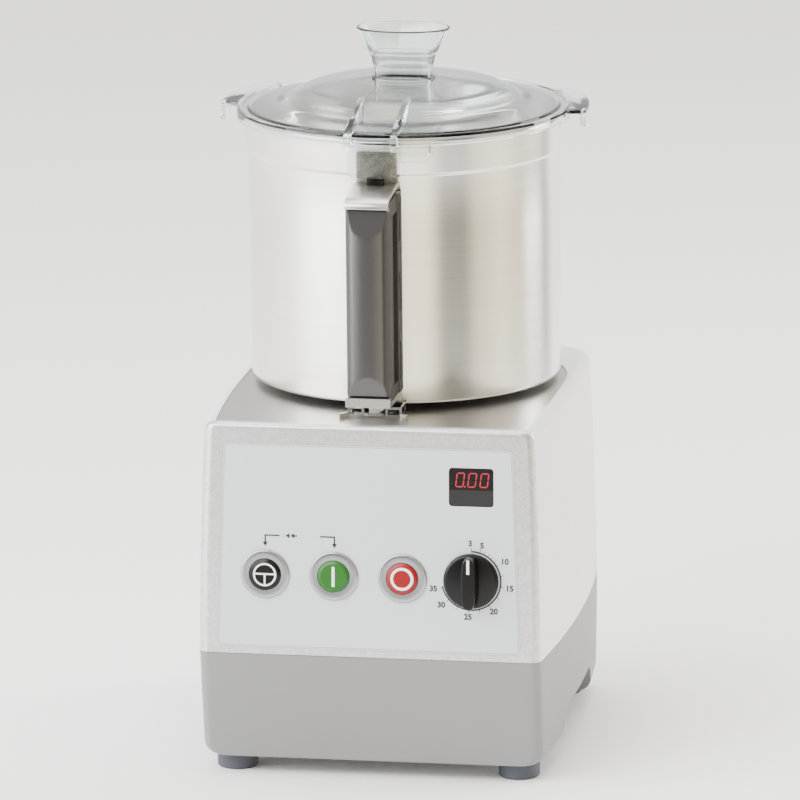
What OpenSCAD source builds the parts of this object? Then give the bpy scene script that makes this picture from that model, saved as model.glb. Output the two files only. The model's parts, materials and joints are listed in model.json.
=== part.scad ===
// Bench-top vertical cutter mixer: a motor base with a control panel, a lift-off steel bowl,
// a clear lid with a feed funnel, a cutter with two curved blades and a safety rod in the handle.
// Millimetres. Z points up, the front panel faces -Y, the origin is on the bench under the
// middle of the whole machine. Parts of the bowl are placed from the bowl's axis.

/* [Base] */
// Half of the base's width at the seam, at the middle of the sides
base_half_w = 133.6; // [130:0.2:142]
// Depth of the base at the seam
base_d = 298; // [294:1:310]
// Height of the seam between the plinth and the motor housing
split_h = 94.7; // [88:0.1:102]
// Height of the top of the motor housing
housing_h = 266.3; // [262:0.1:280]
// Distance of the bowl's axis behind the middle of the base
bowl_axis_y = 25; // [22:1:28]
// Wall of the plinth and of the motor housing
shell_t = 3; // [2.4:0.1:3.6]
// Lean of the front panel from upright, in degrees
face_tilt = 2.4; // [1:0.1:4]
// Lean of the plinth's front under the seam, in degrees
plinth_tilt = 8.8; // [7:0.1:10]
// Radius of the sides' bulge, seen from above
side_bulge_r = 1400; // [1200:10:2000]
// Radius of the sides' crown, seen from the front
side_crown_r = 3400; // [3000:10:5000]
// Lean of the sides from upright, in degrees
side_lean = 0.4; // [0:0.1:1]
// Radius of the upright edges beside the front panel
front_edge_r = 8; // [6:0.5:10]
// Radius of the upright edges at the rear
rear_corner_r = 25; // [18:1:30]
// Radius of the top edges at the sides
side_top_r = 7; // [6:0.5:9]
// Radius of the top edge at the rear
rear_top_r = 14; // [10:0.5:18]
// Radius of the top edge of the front panel
front_top_r = 4; // [3:0.1:4.5]
// Radius of the plinth's bottom edges
plinth_edge_r = 10; // [6:0.5:12]

/* [Underside] */
// Front end of the arch through the plinth
arch_front_y = -63; // [-70:1:-55]
// Rear end of the arch through the plinth
arch_rear_y = 75; // [70:1:85]
// Height of the arch's ceiling
arch_h = 37; // [34:0.5:40]
// Radius of the arch's upper corners
arch_r = 22; // [12:1:23]
// Radius of a foot
foot_r = 15.1; // [12:0.1:16]
// Height of a foot
foot_h = 13.2; // [11:0.1:15]
// Distance of a front foot from the middle plane
front_foot_x = 105; // [98:0.5:106]
// Distance of a front foot's centre in front of the middle
front_foot_y = 112.6; // [105:0.1:116]
// Distance of a rear foot from the middle plane
rear_foot_x = 101.1; // [95:0.1:105]
// Distance of a rear foot's centre behind the middle
rear_foot_y = 120.3; // [110:0.1:124]

/* [Control panel] */
// Thickness of the front bezel
bezel_t = 5; // [4.5:0.1:6]
// Half of the overlay's width at its top edge
overlay_top_half = 106.4; // [102:0.2:108]
// Half of the overlay's width at its bottom edge
overlay_low_half = 112; // [108:0.2:114]
// Distance from the seam up the panel to the overlay's bottom edge
overlay_low = 5.5; // [4:0.1:8]
// Distance from the seam up the panel to the overlay's top edge
overlay_high = 157; // [152:0.5:160]
// Distance from the seam up the panel to the row of buttons
control_v = 60; // [56:0.5:66]
// Spacing of the three buttons and the knob
control_pitch = 50.7; // [46:0.1:52]
// Radius of the ring round a button
ring_r = 18.2; // [17.6:0.1:20]
// Radius of a button's cap
cap_r = 11.5; // [10:0.1:12]
// Distance that a button's cap travels
button_travel = 2; // [1:0.1:2.5]
// Radius of the speed knob's disc
knob_r = 20.3; // [17:0.1:21]
// Height of the speed knob over the overlay
knob_h = 16; // [14:0.5:20]
// Distance from the seam up the panel to the display's centre
display_v = 129.1; // [125:0.1:134]
// Width of the display window
display_w = 32.6; // [30:0.1:36]
// Height of the display window
display_h = 28.2; // [26:0.1:30]

/* [Bowl] */
// Outer radius of the bowl's wall
bowl_r = 115; // [110:0.1:116]
// Height of the bowl from its bottom to its rim
bowl_h = 197.7; // [190:0.1:215]
// Thickness of the bowl's steel
bowl_t = 1.5; // [1:0.1:2]
// Height of the step under the bowl's upper band
step_h = 158; // [150:0.5:164]
// Widening of the bowl's upper band
band_out = 1.7; // [1:0.1:2]
// Reach of the bowl's rim past the band
rim_out = 2.8; // [2:0.1:3]
// Radius of the bowl's bottom edge
bowl_edge_r = 4; // [3:0.1:8]
// Height of the chimney in the bowl's middle
chimney_h = 80; // [70:0.5:90]
// Outer radius of the chimney
chimney_r = 14; // [13.5:0.1:15]
// Wall of the chimney
chimney_t = 2.5; // [2:0.1:3]
// Height of the seat that carries the bowl
seat_h = 4.7; // [4.2:0.1:6]

/* [Lid] */
// Thickness of the clear lid
lid_t = 2.7; // [2.2:0.1:3.2]
// Reach of the lid's skirt past the bowl's rim
skirt_out = 4.2; // [4.1:0.1:5]
// Drop of the lid's skirt below the bowl's rim
skirt_drop = 3.5; // [3:0.1:4]
// Rise of the lid's dome above its flange
dome_rise = 19.5; // [16:0.5:26]
// Reach of the lid's two ears from the axis
ear_r = 137; // [136.6:0.1:138]
// Height of the funnel's mouth over the bowl's rim
funnel_h = 62; // [58:0.5:75]
// Half of the funnel mouth's width
mouth_half_w = 34.8; // [30:0.1:38]
// Half of the funnel mouth's depth
mouth_half_d = 23; // [20:0.1:26]
// Half of the feed tube's width
tube_half_w = 21.4; // [19:0.1:23]
// Half of the feed tube's depth
tube_half_d = 12; // [11:0.1:13]

/* [Handle] */
// Height of the handle's strap over the bowl's bottom
strap_h = 166.3; // [164:0.1:170]
// Reach of the handle from the bowl's axis
handle_reach = 164.9; // [163:0.1:168]
// Thickness of the handle's steel straps
strap_t = 2.2; // [1.8:0.1:2.5]
// Half of the grip's width
grip_half_w = 16.4; // [14:0.1:18]
// Depth of the grip's front bar
grip_d = 19; // [16:0.5:22]
// Depth of the grip's rear spine
spine_d = 10; // [9.6:0.1:11]

/* [Cutter] */
// Reach of the two blades from the axis
blade_reach = 107; // [95:0.5:110]
// Thickness of a blade
blade_t = 2.5; // [2:0.1:3]
// Height of the lower blade over the bowl's bottom
low_blade_h = 22; // [20:0.5:26]
// Height of the upper blade over the bowl's bottom
high_blade_h = 58; // [50:0.5:68]

/* [Motor] */
// Radius of the motor's barrel
motor_r = 56; // [50:0.5:60]
// Length of the motor's barrel
motor_len = 125; // [110:1:130]
// Radius of the motor shaft
shaft_r = 8; // [7:0.1:8]

/* [Hidden] */
$fn = 96;

// Small values that all pieces share
over = 1;
seam = 0.4;
fit = 0.3;
run_fit = 0.05;
sliver = 0.01;
corner_steps = 6;
side_steps = 8;

// Colours, as the photograph shows them
near_white = [0.91, 0.91, 0.92];
plinth_grey = [0.69, 0.69, 0.69];
foot_grey = [0.45, 0.48, 0.5];
satin_aluminium = [0.74, 0.74, 0.74];
overlay_grey = [0.82, 0.825, 0.835];
brushed_steel = [0.7, 0.69, 0.67];
bright_steel = [0.82, 0.82, 0.8];
grip_grey = [0.36, 0.35, 0.36];
clear_plastic = [0.86, 0.9, 0.9, 0.4];
signal_green = [0.34, 0.56, 0.29];
signal_red = [0.85, 0.2, 0.23];
deep_black = [0.15, 0.14, 0.15];
soft_white = [0.93, 0.93, 0.92];
board_green = [0.1, 0.35, 0.22];
copper = [0.72, 0.45, 0.2];
cast_grey = [0.55, 0.56, 0.58];

// Deck and roof heights
deck_drop = 0.7;
deck_t = 1.5;
deck_z = housing_h - deck_drop;
roof_t = 3;
roof_z = deck_z - deck_t - roof_t;
deck_margin = 8.3;
round_shares = [1, 0.72, 0.5, 0.31, 0.16, 0.06, 0];
crown_shares = [0.25, 0.5, 0.75];

// Bottom plate and plinth
ledge_t = 3;
plate_z = arch_h + ledge_t;
plate_t = 2;
ledge_w = 28;
sole_screw_r = 2.4;
sole_head_r = 5;
sole_head_t = 2.5;
sole_screw_len = 20;
boss_r = 6;
boss_h = 10;
vent_w = 5;
vent_len = 66;
vent_pitch = 11;
vent_count = 7;
pocket_w = 44;
pocket_h = 30;
pocket_d = 18;
pocket_low = 50;
gland_r = 9;
gland_nut_r = 12;
gland_nut_t = 6;
gland_bore_r = 3.6;
gland_x = 60;

// Rear panel
vent_panel_w = 96;
vent_panel_h = 76;
vent_panel_t = 1.5;
vent_panel_x = 48;
vent_panel_z = 165;
vent_panel_lap = 7;
rear_slot_w = 70;
rear_slot_h = 3;
rear_slot_pitch = 8;
rear_slot_count = 7;
small_screw_r = 1.6;
small_head_r = 3.2;
small_head_t = 1.2;

// Control panel
overlay_t = 0.8;
overlay_recess = 0.5;
overlay_corner_r = 4;
ring_t = 1.6;
barrel_t = 1.5;
barrel_d = 12;
flange_out = 1.3;
cap_flange_t = 2;
cap_proud = 2.5;
stem_r = 4;
nut_t = 3;
nut_out = 3.2;
board_t = 1.6;
board_d = 22;
board_low = 36;
board_high = 84;
board_end = 18;
switch_w = 12;
pillar_r = 3.5;
pot_r = 9;
pot_d = 9;
bush_r = 5;
spindle_r = 3;
spindle_len = 11;
pot_nut_r = 7;
pot_nut_t = 2;
knob_skirt_h = 3.5;
knob_gap = 0.5;
knob_ridge_half = 5.5;
knob_well_r = 9;
knob_well_d = 3;
window_t = 1.1;
window_corner_r = 2.5;
digit_w = 27;
digit_h = 14;
digit_d = 7;
display_board_w = 46;
display_board_h = 38;

// Base places: the knob stands out in front, so the base sits behind the middle of the whole
control_x = 1.5 * control_pitch;
overlay_face = overlay_recess - overlay_t;
knob_low = control_v - knob_r + over;
knob_out = (knob_h - overlay_face) * cos(face_tilt) - knob_low * sin(face_tilt);
mid_y = knob_out / 2;
front_y = mid_y - base_d / 2;
rear_y = mid_y + base_d / 2;
bowl_y = mid_y + bowl_axis_y;

// Bowl, seat and shaft
bowl_z = deck_z + seat_h;
rest_gap = 0.2;
band_r = bowl_r + band_out;
rim_r = band_r + rim_out;
rim_t = 1.5;
rim_flare = 2;
step_run = 2;
collar_r = 21.5;
collar_h = 12;
recess_r = collar_r + fit;
recess_h = collar_h + over;
seat_flange_r = 58;
spigot_r = 19.5;
seat_bore_r = 10.5;
seal_r = 13;
seal_h = 6;
seal_lip = 0.4;
seat_screw_at = 46;
seat_screw_r = 2.4;
seat_screw_len = 14;
seat_head_r = 4.6;
seat_head_t = 2.4;

// Motor
mount_drop = 22;
motor_plate_t = 6;
motor_plate_half = 78;
motor_plate_z = roof_z - mount_drop - motor_plate_t;
post_at = 66;
post_r = 8;
motor_bolt_r = 3;
motor_bolt_head_r = 5.5;
motor_bolt_head_t = 4;
bearing_r = 17.5;
bearing_h = 10;
bearing_lip = 2;
bearing_boss_r = 24;
bearing_boss_h = 8;
barrel_wall = 5;
shield_t = 12;
stator_h = 70;
air_gap = 1;
rotor_r = 28;
motor_low_z = motor_plate_z - motor_len;
stator_z = motor_low_z + (motor_len - stator_h) / 2;
shield_z = motor_low_z - shield_t;
shaft_foot = 26;
shaft_low_z = shield_z - shaft_foot;
shaft_head = 45;
shaft_top = chimney_h + shaft_head;
flat_cut = 1.5;
fan_hub_r = 14;
fan_r = 44;
fan_h = 12;
fan_blade_t = 1.6;
fan_blades = 7;
fan_drop = 6;

// Electronics
sink_w = 76;
sink_h = 80;
sink_plate_t = 4;
fin_t = 2;
fin_d = 9;
fin_count = 8;
sink_x = -60;
sink_z = 116;
inverter_w = 84;
inverter_h = 86;
capacitor_r = 11;
capacitor_len = 26;
capacitor_pitch = 26;

// Deck clip and safety switch
rod_at = 124;
slot_half_w = 7.5;
slot_half_d = 4;
clip_t = 1.5;
clip_half_w = 20;
clip_front = 137;
clip_rear = 111;
loop_rear = 117;
clip_open_half = 7.5;
loop_in = 8;
loop_h = 8;
loop_wire = 1.6;
wing_len = 14;
wing_turn = 40;
switch_body_w = 20;
switch_body_d = 12;
switch_body_h = 24;

// Handle
weld_gap = 0.2;
post_h = 22;
post_half_w = 14.7;
strap_drop = 3.7;
strap_lip = 7;
strap_half_w = 16;
foot_strap_h = 9.3;
foot_strap_t = 3.4;
foot_lip_h = 6.7;
foot_half_w = 16.5;
grip_edge_r = 8;
grip_lip_gap = 0.3;
spine_half_w = 17.3;
spine_front = 128.5;
loop_low_h = 22;
loop_high_h = 148;
groove_d = 1.2;
groove_h = 29;
groove_w = 3;
groove_low_shares = [0.06, 0.41, 0.76];
rod_r = 3;
rod_lift = 5;
plunger_half_w = 6.3;
plunger_half_d = 2.1;
plunger_low_h = 158;
plunger_high_h = 171.5;
tip_low_h = -6.3;
tip_high_h = 8.7;
tip_half_w = 6;
tip_half_d = 2.5;
tip_nose = 3.5;
tip_slope_h = 6.5;
handle_screw_r = 2;
handle_screw_len = 14;
handle_head_r = 3.8;
handle_head_t = 2;
handle_screw_x = 8;
handle_screw_at = 154;

// Lid
rim_z = bowl_z + bowl_h;
seal_ring_w = 7;
seal_ring_t = 1.4;
skirt_r = rim_r + skirt_out;
skirt_t = 2.5;
flange_under = rest_gap + seal_ring_t + rest_gap;
flange_top = flange_under + lid_t;
dome_r = 112;
groove_out_r = 120;
groove_in_r = 115.5;
lid_groove_d = 1;
dome_shares = [[1, 0], [0.84, 0.13], [0.75, 0.4], [0.67, 0.65], [0.59, 0.8], [0.45, 0.93], [0.3, 1], [0, 1]];
ear_from = -5;
ear_sweep = 38;
ear_low = 1.2;
ear_t = 3.2;
hook_sweep = 5;
hook_inset = 0.5;
hook_h = 10;
hook_t = 3.5;
latch_half_w = 19;
latch_gap_r = 126.9;
latch_t = 2.7;
latch_low = 26;
latch_top = 7;
latch_web_t = 3;
tongue_reach = 42;
tongue_low = 15;
latch_rib_at = 17.2;
latch_rib_t = 5;
latch_rib_end = 62;
latch_rib_rise = 5.5;
funnel_t = 2.2;
funnel_low = 8;
neck_h = 32;
ring_h = 43;
ring_half_w = 25;
ring_half_d = 14.5;
collar_out = 6;
collar_t = 2.2;
oval_steps = 48;
neck_power = 0.62;
mouth_power = 0.95;

// Cutter
hub_gap = 1.2;
hub_r = 20;
hub_low_h = 18;
hub_flange_out = 6;
hub_top_h = chimney_h + 40;
hub_roof_h = chimney_h + 4;
cap_wall = 3.5;
cap_top_h = hub_top_h + 15;
cap_round = 9;
blade_ring_out = 8;
blade_root_w = 30;
blade_tip_w = 9;
blade_sweep = 62;
blade_steps = 14;

// Points along an arc about a centre, from one angle to another
function arc_points(centre, r, from, to, steps = corner_steps) =
    [for (i = [0:steps]) let (a = from + (to - from) * i / steps) centre + r * [cos(a), sin(a)]];

function unit(v) = v / norm(v);

// A corner of an outline, rounded to radius r
function corner_arc(before, corner, after, r) =
    let (u = unit(before - corner), v = unit(after - corner), half = acos(u * v) / 2,
        centre = corner + unit(u + v) * r / sin(half), turn = 180 - 2 * half,
        s = corner + u * r / tan(half) - centre, e = corner + v * r / tan(half) - centre)
    [for (i = [0:corner_steps]) centre
        + (s * sin(turn * (1 - i / corner_steps)) + e * sin(turn * i / corner_steps)) / sin(turn)];

// An outline with all its corners rounded to radius r
function rounded(points, r) =
    let (n = len(points))
    [for (i = [0:n - 1]) each corner_arc(points[(i + n - 1) % n], points[i], points[(i + 1) % n], r)];

function box_outline(w, h) = [[-w / 2, -h / 2], [w / 2, -h / 2], [w / 2, h / 2], [-w / 2, h / 2]];

// How far a rounded edge of radius r draws in at a depth below its top
function round_in(depth, r) =
    depth >= r ? 0 : (r <= 0 ? 0 : r - sqrt(max(0, r * r - (r - max(depth, 0)) * (r - max(depth, 0)))));

// How far the sides draw in away from the seam
function side_in(z) =
    abs(z - split_h) * tan(side_lean) + (z - split_h) * (z - split_h) / (2 * side_crown_r);

// How far the front draws in away from the seam
function front_in(z) = z > split_h ? (z - split_h) * tan(face_tilt) : (split_h - z) * tan(plinth_tilt);

// The sides' half width at a height, at a distance from the middle of the base
function side_x(z, y) =
    base_half_w - side_in(z) - side_bulge_r + sqrt(side_bulge_r * side_bulge_r - (y - mid_y) * (y - mid_y));

// The right half of the base's outline, from the front round to the rear
function half_outline(w, yf, yr, rf, rr) =
    let (cx = w - side_bulge_r, rof = side_bulge_r - rf, ror = side_bulge_r - rr,
        tf = asin((yf + rf) / rof), tr = asin((yr - rr) / ror),
        side = arc_points([cx, 0], side_bulge_r, tf, tr, side_steps))
    concat(arc_points([cx + rof * cos(tf), yf + rf], rf, -90, tf),
        [for (i = [1:side_steps - 1]) side[i]],
        arc_points([cx + ror * cos(tr), yr - rr], rr, tr, 90));

// The base's whole outline at a height, drawn in by inset
function outline_at(z, inset) =
    let (up = z > split_h, edge = up ? housing_h - inset - z : z - foot_h - inset,
        w = base_half_w - inset - side_in(z) - round_in(edge, (up ? side_top_r : plinth_edge_r) - inset),
        yf = front_y + inset + front_in(z) + (up ? round_in(edge, front_top_r - inset) : 0),
        yr = rear_y - inset - round_in(edge, (up ? rear_top_r : plinth_edge_r) - inset),
        rf = max(front_edge_r - inset, over), rr = rear_corner_r - inset,
        half = half_outline(w, yf - mid_y, yr - mid_y, rf, rr),
        n = len(half))
    concat([for (p = half) [p[0], p[1] + mid_y]], [for (i = [n - 1:-1:0]) [-half[i][0], half[i][1] + mid_y]]);

// A solid through a stack of like outlines, given with their heights
module lofted(rings, heights) {
    n = len(rings[0]);
    top = len(rings) - 1;
    points = [for (k = [0:top]) each [for (p = rings[k]) [p[0], p[1], heights[k]]]];
    sides = [for (k = [0:top - 1], i = [0:n - 1]) each
        let (a = k * n + i, b = k * n + (i + 1) % n) [[a, a + n, b + n], [a, b + n, b]]];
    polyhedron(points, concat([[for (i = [0:n - 1]) i]], sides, [[for (i = [n - 1:-1:0]) top * n + i]]));
}

module base_form(heights, inset = 0) {
    lofted([for (z = heights) outline_at(z, inset)], heights);
}

// Extrudes an outline drawn in Y and Z along X, centred
module along_x(w) {
    translate([-w / 2, 0, 0]) rotate([90, 0, 90]) linear_extrude(w) children();
}

// The front panel's own frame: X right, Z up the slope from the seam, Y into the machine
module on_face(x = 0, v = 0) {
    translate([0, front_y, split_h]) rotate([-face_tilt, 0, 0]) translate([x, 0, v]) children();
}

// A round plug or bore into the front panel between two depths
module plug(r, from, to) {
    translate([0, from, 0]) rotate([-90, 0, 0]) cylinder(r = r, h = to - from);
}

// A plate on the front panel, its outline drawn in X and up the slope
module face_plate(from, to) {
    translate([0, to, 0]) rotate([90, 0, 0]) linear_extrude(to - from) children();
}

module at_bowl(z = 0) {
    translate([0, bowl_y, z]) children();
}

// A block between two corners
module block(low, high) {
    translate(low) cube(high - low);
}

// Plinth: moulded tray with two legs, an arch between them and a rear pocket for the mains lead
plinth_top = split_h - seam / 2;
arch_front = mid_y + arch_front_y;
arch_rear = mid_y + arch_rear_y;

module arch_cut() {
    along_x(3 * base_half_w) polygon(concat(
        [[arch_front, -over], [arch_rear, -over]],
        arc_points([arch_rear - arch_r, arch_h - arch_r], arch_r, 0, 90),
        arc_points([arch_front + arch_r, arch_h - arch_r], arch_r, 90, 180)));
}

module gland_pocket(grow) {
    block([gland_x - pocket_w / 2 - grow, rear_y - pocket_d - grow, pocket_low - grow],
        [gland_x + pocket_w / 2 + grow, rear_y + (grow > 0 ? -shell_t : over), pocket_low + pocket_h + grow]);
}

module each_foot() {
    for (side = [-1, 1]) {
        translate([side * front_foot_x, mid_y - front_foot_y, 0]) children();
        translate([side * rear_foot_x, mid_y + rear_foot_y, 0]) children();
    }
}

module plinth() color(plinth_grey) {
    zs = concat([for (i = [6, 5, 4, 3, 2]) foot_h + round_shares[i] * plinth_edge_r],
        [foot_h + plinth_edge_r, plate_z, plinth_top]);
    floor_z = foot_h + shell_t;
    difference() {
        union() {
            difference() {
                base_form(zs);
                base_form([plate_z, (plate_z + split_h) / 2, split_h], shell_t);
                intersection() {
                    base_form([floor_z, floor_z + shell_t, plate_z + over], shell_t);
                    union() {
                        block([-base_half_w, front_y, floor_z],
                            [base_half_w, arch_front - shell_t, plate_z + over]);
                        block([-base_half_w, arch_rear + shell_t, floor_z],
                            [base_half_w, rear_y, plate_z + over]);
                    }
                }
            }
            each_foot() translate([0, 0, floor_z]) cylinder(r = boss_r, h = boss_h);
            gland_pocket(shell_t);
        }
        arch_cut();
        block([-base_half_w + ledge_w, arch_front + arch_r, arch_h - over],
            [base_half_w - ledge_w, arch_rear - arch_r, plate_z + over]);
        each_foot() cylinder(r = sole_screw_r + run_fit, h = floor_z + boss_h + over);
        gland_pocket(0);
        translate([gland_x, rear_y - pocket_d - shell_t - over, pocket_low + pocket_h / 2])
            rotate([-90, 0, 0]) cylinder(r = gland_r + run_fit, h = pocket_d);
    }
}

module bottom_plate() color(brushed_steel) difference() {
    translate([0, 0, plate_z]) linear_extrude(plate_t) polygon(outline_at(plate_z, shell_t + fit));
    for (i = [0:vent_count - 1])
        let (y = (arch_front + arch_rear) / 2 + (i - (vent_count - 1) / 2) * vent_pitch)
            block([-vent_len / 2, y - vent_w / 2, plate_z - over],
                [vent_len / 2, y + vent_w / 2, plate_z + plate_t + over]);
}

module foot() {
    rotate_extrude() polygon([[sole_head_r + fit, 0], [foot_r - over, 0], [foot_r, over], [foot_r, foot_h],
        [sole_screw_r + fit, foot_h], [sole_screw_r + fit, foot_h / 2], [sole_head_r + fit, foot_h / 2]]);
}

module foot_front_left() color(foot_grey) translate([-front_foot_x, mid_y - front_foot_y, 0]) foot();
module foot_front_right() color(foot_grey) translate([front_foot_x, mid_y - front_foot_y, 0]) foot();
module foot_rear_left() color(foot_grey) translate([-rear_foot_x, mid_y + rear_foot_y, 0]) foot();
module foot_rear_right() color(foot_grey) translate([rear_foot_x, mid_y + rear_foot_y, 0]) foot();

module foot_screws() color(bright_steel) each_foot() translate([0, 0, foot_h / 2 - sole_head_t]) {
    cylinder(r = sole_head_r, h = sole_head_t);
    cylinder(r = sole_screw_r, h = sole_head_t + sole_screw_len);
}

module cable_gland() color(deep_black) translate([gland_x, rear_y - pocket_d, pocket_low + pocket_h / 2])
    rotate([-90, 0, 0]) difference() {
        union() {
            translate([0, 0, -shell_t - gland_nut_t]) cylinder(r = gland_r, h = shell_t + gland_nut_t + over);
            translate([0, 0, -shell_t - gland_nut_t]) cylinder(r = gland_nut_r, h = gland_nut_t, $fn = 6);
            cylinder(r = gland_nut_r, h = gland_nut_t, $fn = 6);
            translate([0, 0, gland_nut_t]) rotate_extrude() polygon([[0, 0], [gland_r, 0],
                [gland_r, gland_nut_t / 2], [gland_bore_r + 2 * over, gland_nut_t], [0, gland_nut_t]]);
        }
        translate([0, 0, -pocket_d]) cylinder(r = gland_bore_r, h = 2 * pocket_d);
    }

// Motor housing: moulded shell, open to the front and below
module vent_panel_outline(shrink) {
    polygon(rounded(box_outline(vent_panel_w - 2 * shrink, vent_panel_h - 2 * shrink), window_corner_r));
}

module on_vent(y) {
    translate([vent_panel_x, y, vent_panel_z]) rotate([90, 0, 0]) children();
}

module bezel_slab(t) {
    on_face() block([-2 * base_half_w, -base_d, -split_h], [2 * base_half_w, t, 2 * housing_h]);
}

module slot_cut(from, to, grow = 0) {
    at_bowl() block([-slot_half_w - grow, -rod_at - slot_half_d - grow, from],
        [slot_half_w + grow, -rod_at + slot_half_d + grow, to]);
}

module each_seat_screw() {
    for (a = [30, 150, 270]) at_bowl(bowl_z) rotate([0, 0, a]) translate([seat_screw_at, 0, 0]) children();
}

module each_motor_post() {
    for (sx = [-1, 1], sy = [-1, 1]) at_bowl() translate([sx * post_at, sy * post_at, 0]) children();
}

function housing_heights(low, inset) =
    concat([low], [for (s = crown_shares) split_h + s * (housing_h - rear_top_r - split_h)],
        [for (s = round_shares) housing_h - inset - s * (rear_top_r - inset)]);

module housing_void() {
    mid_z = (split_h + roof_z) / 2;
    zs = [split_h, mid_z, roof_z - side_top_r, roof_z];
    lofted([for (z = zs) outline_at(min(z, roof_z - shell_t), shell_t)],
        [split_h - over, mid_z, roof_z - side_top_r, roof_z]);
}

module motor_housing() color(near_white) difference() {
    union() {
        difference() {
            base_form(housing_heights(split_h + seam / 2, 0));
            housing_void();
        }
        each_motor_post() translate([0, 0, roof_z - mount_drop]) cylinder(r = post_r, h = mount_drop + over);
    }
    bezel_slab(bezel_t + seam / 2);
    translate([0, 0, deck_z - deck_t]) linear_extrude(housing_h) polygon(deck_outline(0));
    at_bowl(roof_z - over) cylinder(r = spigot_r + fit, h = housing_h);
    slot_cut(roof_z - over, housing_h);
    each_seat_screw() translate([0, 0, -housing_h / 2]) cylinder(r = seat_screw_r + run_fit, h = housing_h);
    each_motor_post() translate([0, 0, roof_z - mount_drop - over])
        cylinder(r = motor_bolt_r + run_fit, h = mount_drop);
    on_vent(rear_y + over) linear_extrude(vent_panel_t + over) vent_panel_outline(-fit);
    on_vent(rear_y + over) linear_extrude(shell_t + 3 * over) vent_panel_outline(vent_panel_lap);
    each_vent_screw() cylinder(r = small_screw_r + run_fit, h = vent_panel_t + shell_t + over);
}

module each_vent_screw() {
    half_w = (vent_panel_w - vent_panel_lap) / 2;
    half_h = (vent_panel_h - vent_panel_lap) / 2;
    for (sx = [-1, 1], sz = [-1, 1])
        on_vent(rear_y) translate([sx * half_w, sz * half_h, 0]) children();
}

module rear_panel() color(brushed_steel) difference() {
    on_vent(rear_y) linear_extrude(vent_panel_t) vent_panel_outline(0);
    for (i = [0:rear_slot_count - 1])
        let (v = (i - (rear_slot_count - 1) / 2) * rear_slot_pitch)
            on_vent(rear_y + over) block([-rear_slot_w / 2, v - rear_slot_h / 2, 0],
                [rear_slot_w / 2, v + rear_slot_h / 2, vent_panel_t + 2 * over]);
    each_vent_screw() translate([0, 0, -over])
        cylinder(r = small_screw_r + run_fit, h = vent_panel_t + 2 * over);
    each_vent_screw() translate([0, 0, -over]) cylinder(r = small_head_r + run_fit, h = over + small_head_t);
}

module panel_screws() color(bright_steel) each_vent_screw() {
    cylinder(r = small_head_r, h = small_head_t);
    cylinder(r = small_screw_r, h = vent_panel_t + shell_t - over);
}

// Front bezel: thick satin plate that carries the controls
module each_button() {
    for (i = [-1.5, -0.5, 0.5]) on_face(i * control_pitch, control_v) children();
}

module each_pillar(r, from, to) {
    for (x = [-1.75, 0.9], v = [board_low + 1.2 * pillar_r, board_high - 1.2 * pillar_r])
        on_face(x * control_pitch, v) plug(r, from, to);
}

function overlay_outline(shrink) = rounded([
    [-overlay_low_half + shrink, overlay_low + shrink], [overlay_low_half - shrink, overlay_low + shrink],
    [overlay_top_half - shrink, overlay_high - shrink], [-overlay_top_half + shrink, overlay_high - shrink]],
    overlay_corner_r);

module window_outline(grow) {
    translate([control_x, display_v])
        polygon(rounded(box_outline(display_w + 2 * grow, display_h + 2 * grow), window_corner_r));
}

module front_bezel() color(satin_aluminium) difference() {
    union() {
        intersection() {
            base_form(housing_heights(split_h + seam / 2, 0));
            bezel_slab(bezel_t);
        }
        each_pillar(pillar_r, bezel_t - over, board_d);
    }
    on_face() face_plate(-over, overlay_recess) polygon(overlay_outline(-fit));
    on_face() face_plate(-over, window_t - overlay_t + overlay_recess + 2 * fit) window_outline(fit);
    on_face() translate([control_x, 0, display_v]) block([-digit_w / 2 - fit, -over, -digit_h / 2 - fit],
        [digit_w / 2 + fit, bezel_t + over, digit_h / 2 + fit]);
    each_button() plug(barrel_out_r + fit, -over, bezel_t + over);
    on_face(control_x, control_v) plug(bush_r + run_fit, -over, bezel_t + over);
    each_pillar(small_screw_r, bezel_t, board_d + over);
}

module control_overlay() color(overlay_grey) difference() {
    on_face() face_plate(overlay_recess - overlay_t, overlay_recess) polygon(overlay_outline(0));
    on_face() face_plate(-over, over) window_outline(fit / 2);
    each_button() plug(barrel_out_r + fit, -over, over);
    on_face(control_x, control_v) plug(bush_r + run_fit, -over, over);
}

module display_window() color(deep_black)
    on_face() face_plate(overlay_face, overlay_face + window_t) window_outline(0);

module display_board() color(board_green) on_face(control_x, display_v) {
    translate([0, bezel_t + digit_d, 0]) block([-display_board_w / 2, 0, -display_board_h / 2],
        [display_board_w / 2, board_t, display_board_h / 2]);
    block([-digit_w / 2, overlay_face + window_t + fit, -digit_h / 2],
        [digit_w / 2, bezel_t + digit_d, digit_h / 2]);
}

// Button ring: a flange on the overlay and a barrel through the bezel that guides the cap
barrel_in_r = cap_r + flange_out + fit;
barrel_out_r = barrel_in_r + barrel_t;

module ring_piece(i) color(soft_white) on_face(i * control_pitch, control_v)
    rotate([-90, 0, 0]) rotate_extrude() polygon([[cap_r + fit, overlay_face - ring_t],
        [ring_r - ring_t / 2, overlay_face - ring_t], [ring_r, overlay_face - ring_t / 2],
        [ring_r, overlay_face], [barrel_out_r, overlay_face],
        [barrel_out_r, barrel_d], [stem_r + fit, barrel_d], [stem_r + fit, barrel_d - barrel_t],
        [barrel_in_r, barrel_d - barrel_t], [barrel_in_r, overlay_face + over],
        [cap_r + fit, overlay_face + over]]);

module pulse_bezel() ring_piece(-1.5);
module start_bezel() ring_piece(-0.5);
module stop_bezel() ring_piece(0.5);

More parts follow.
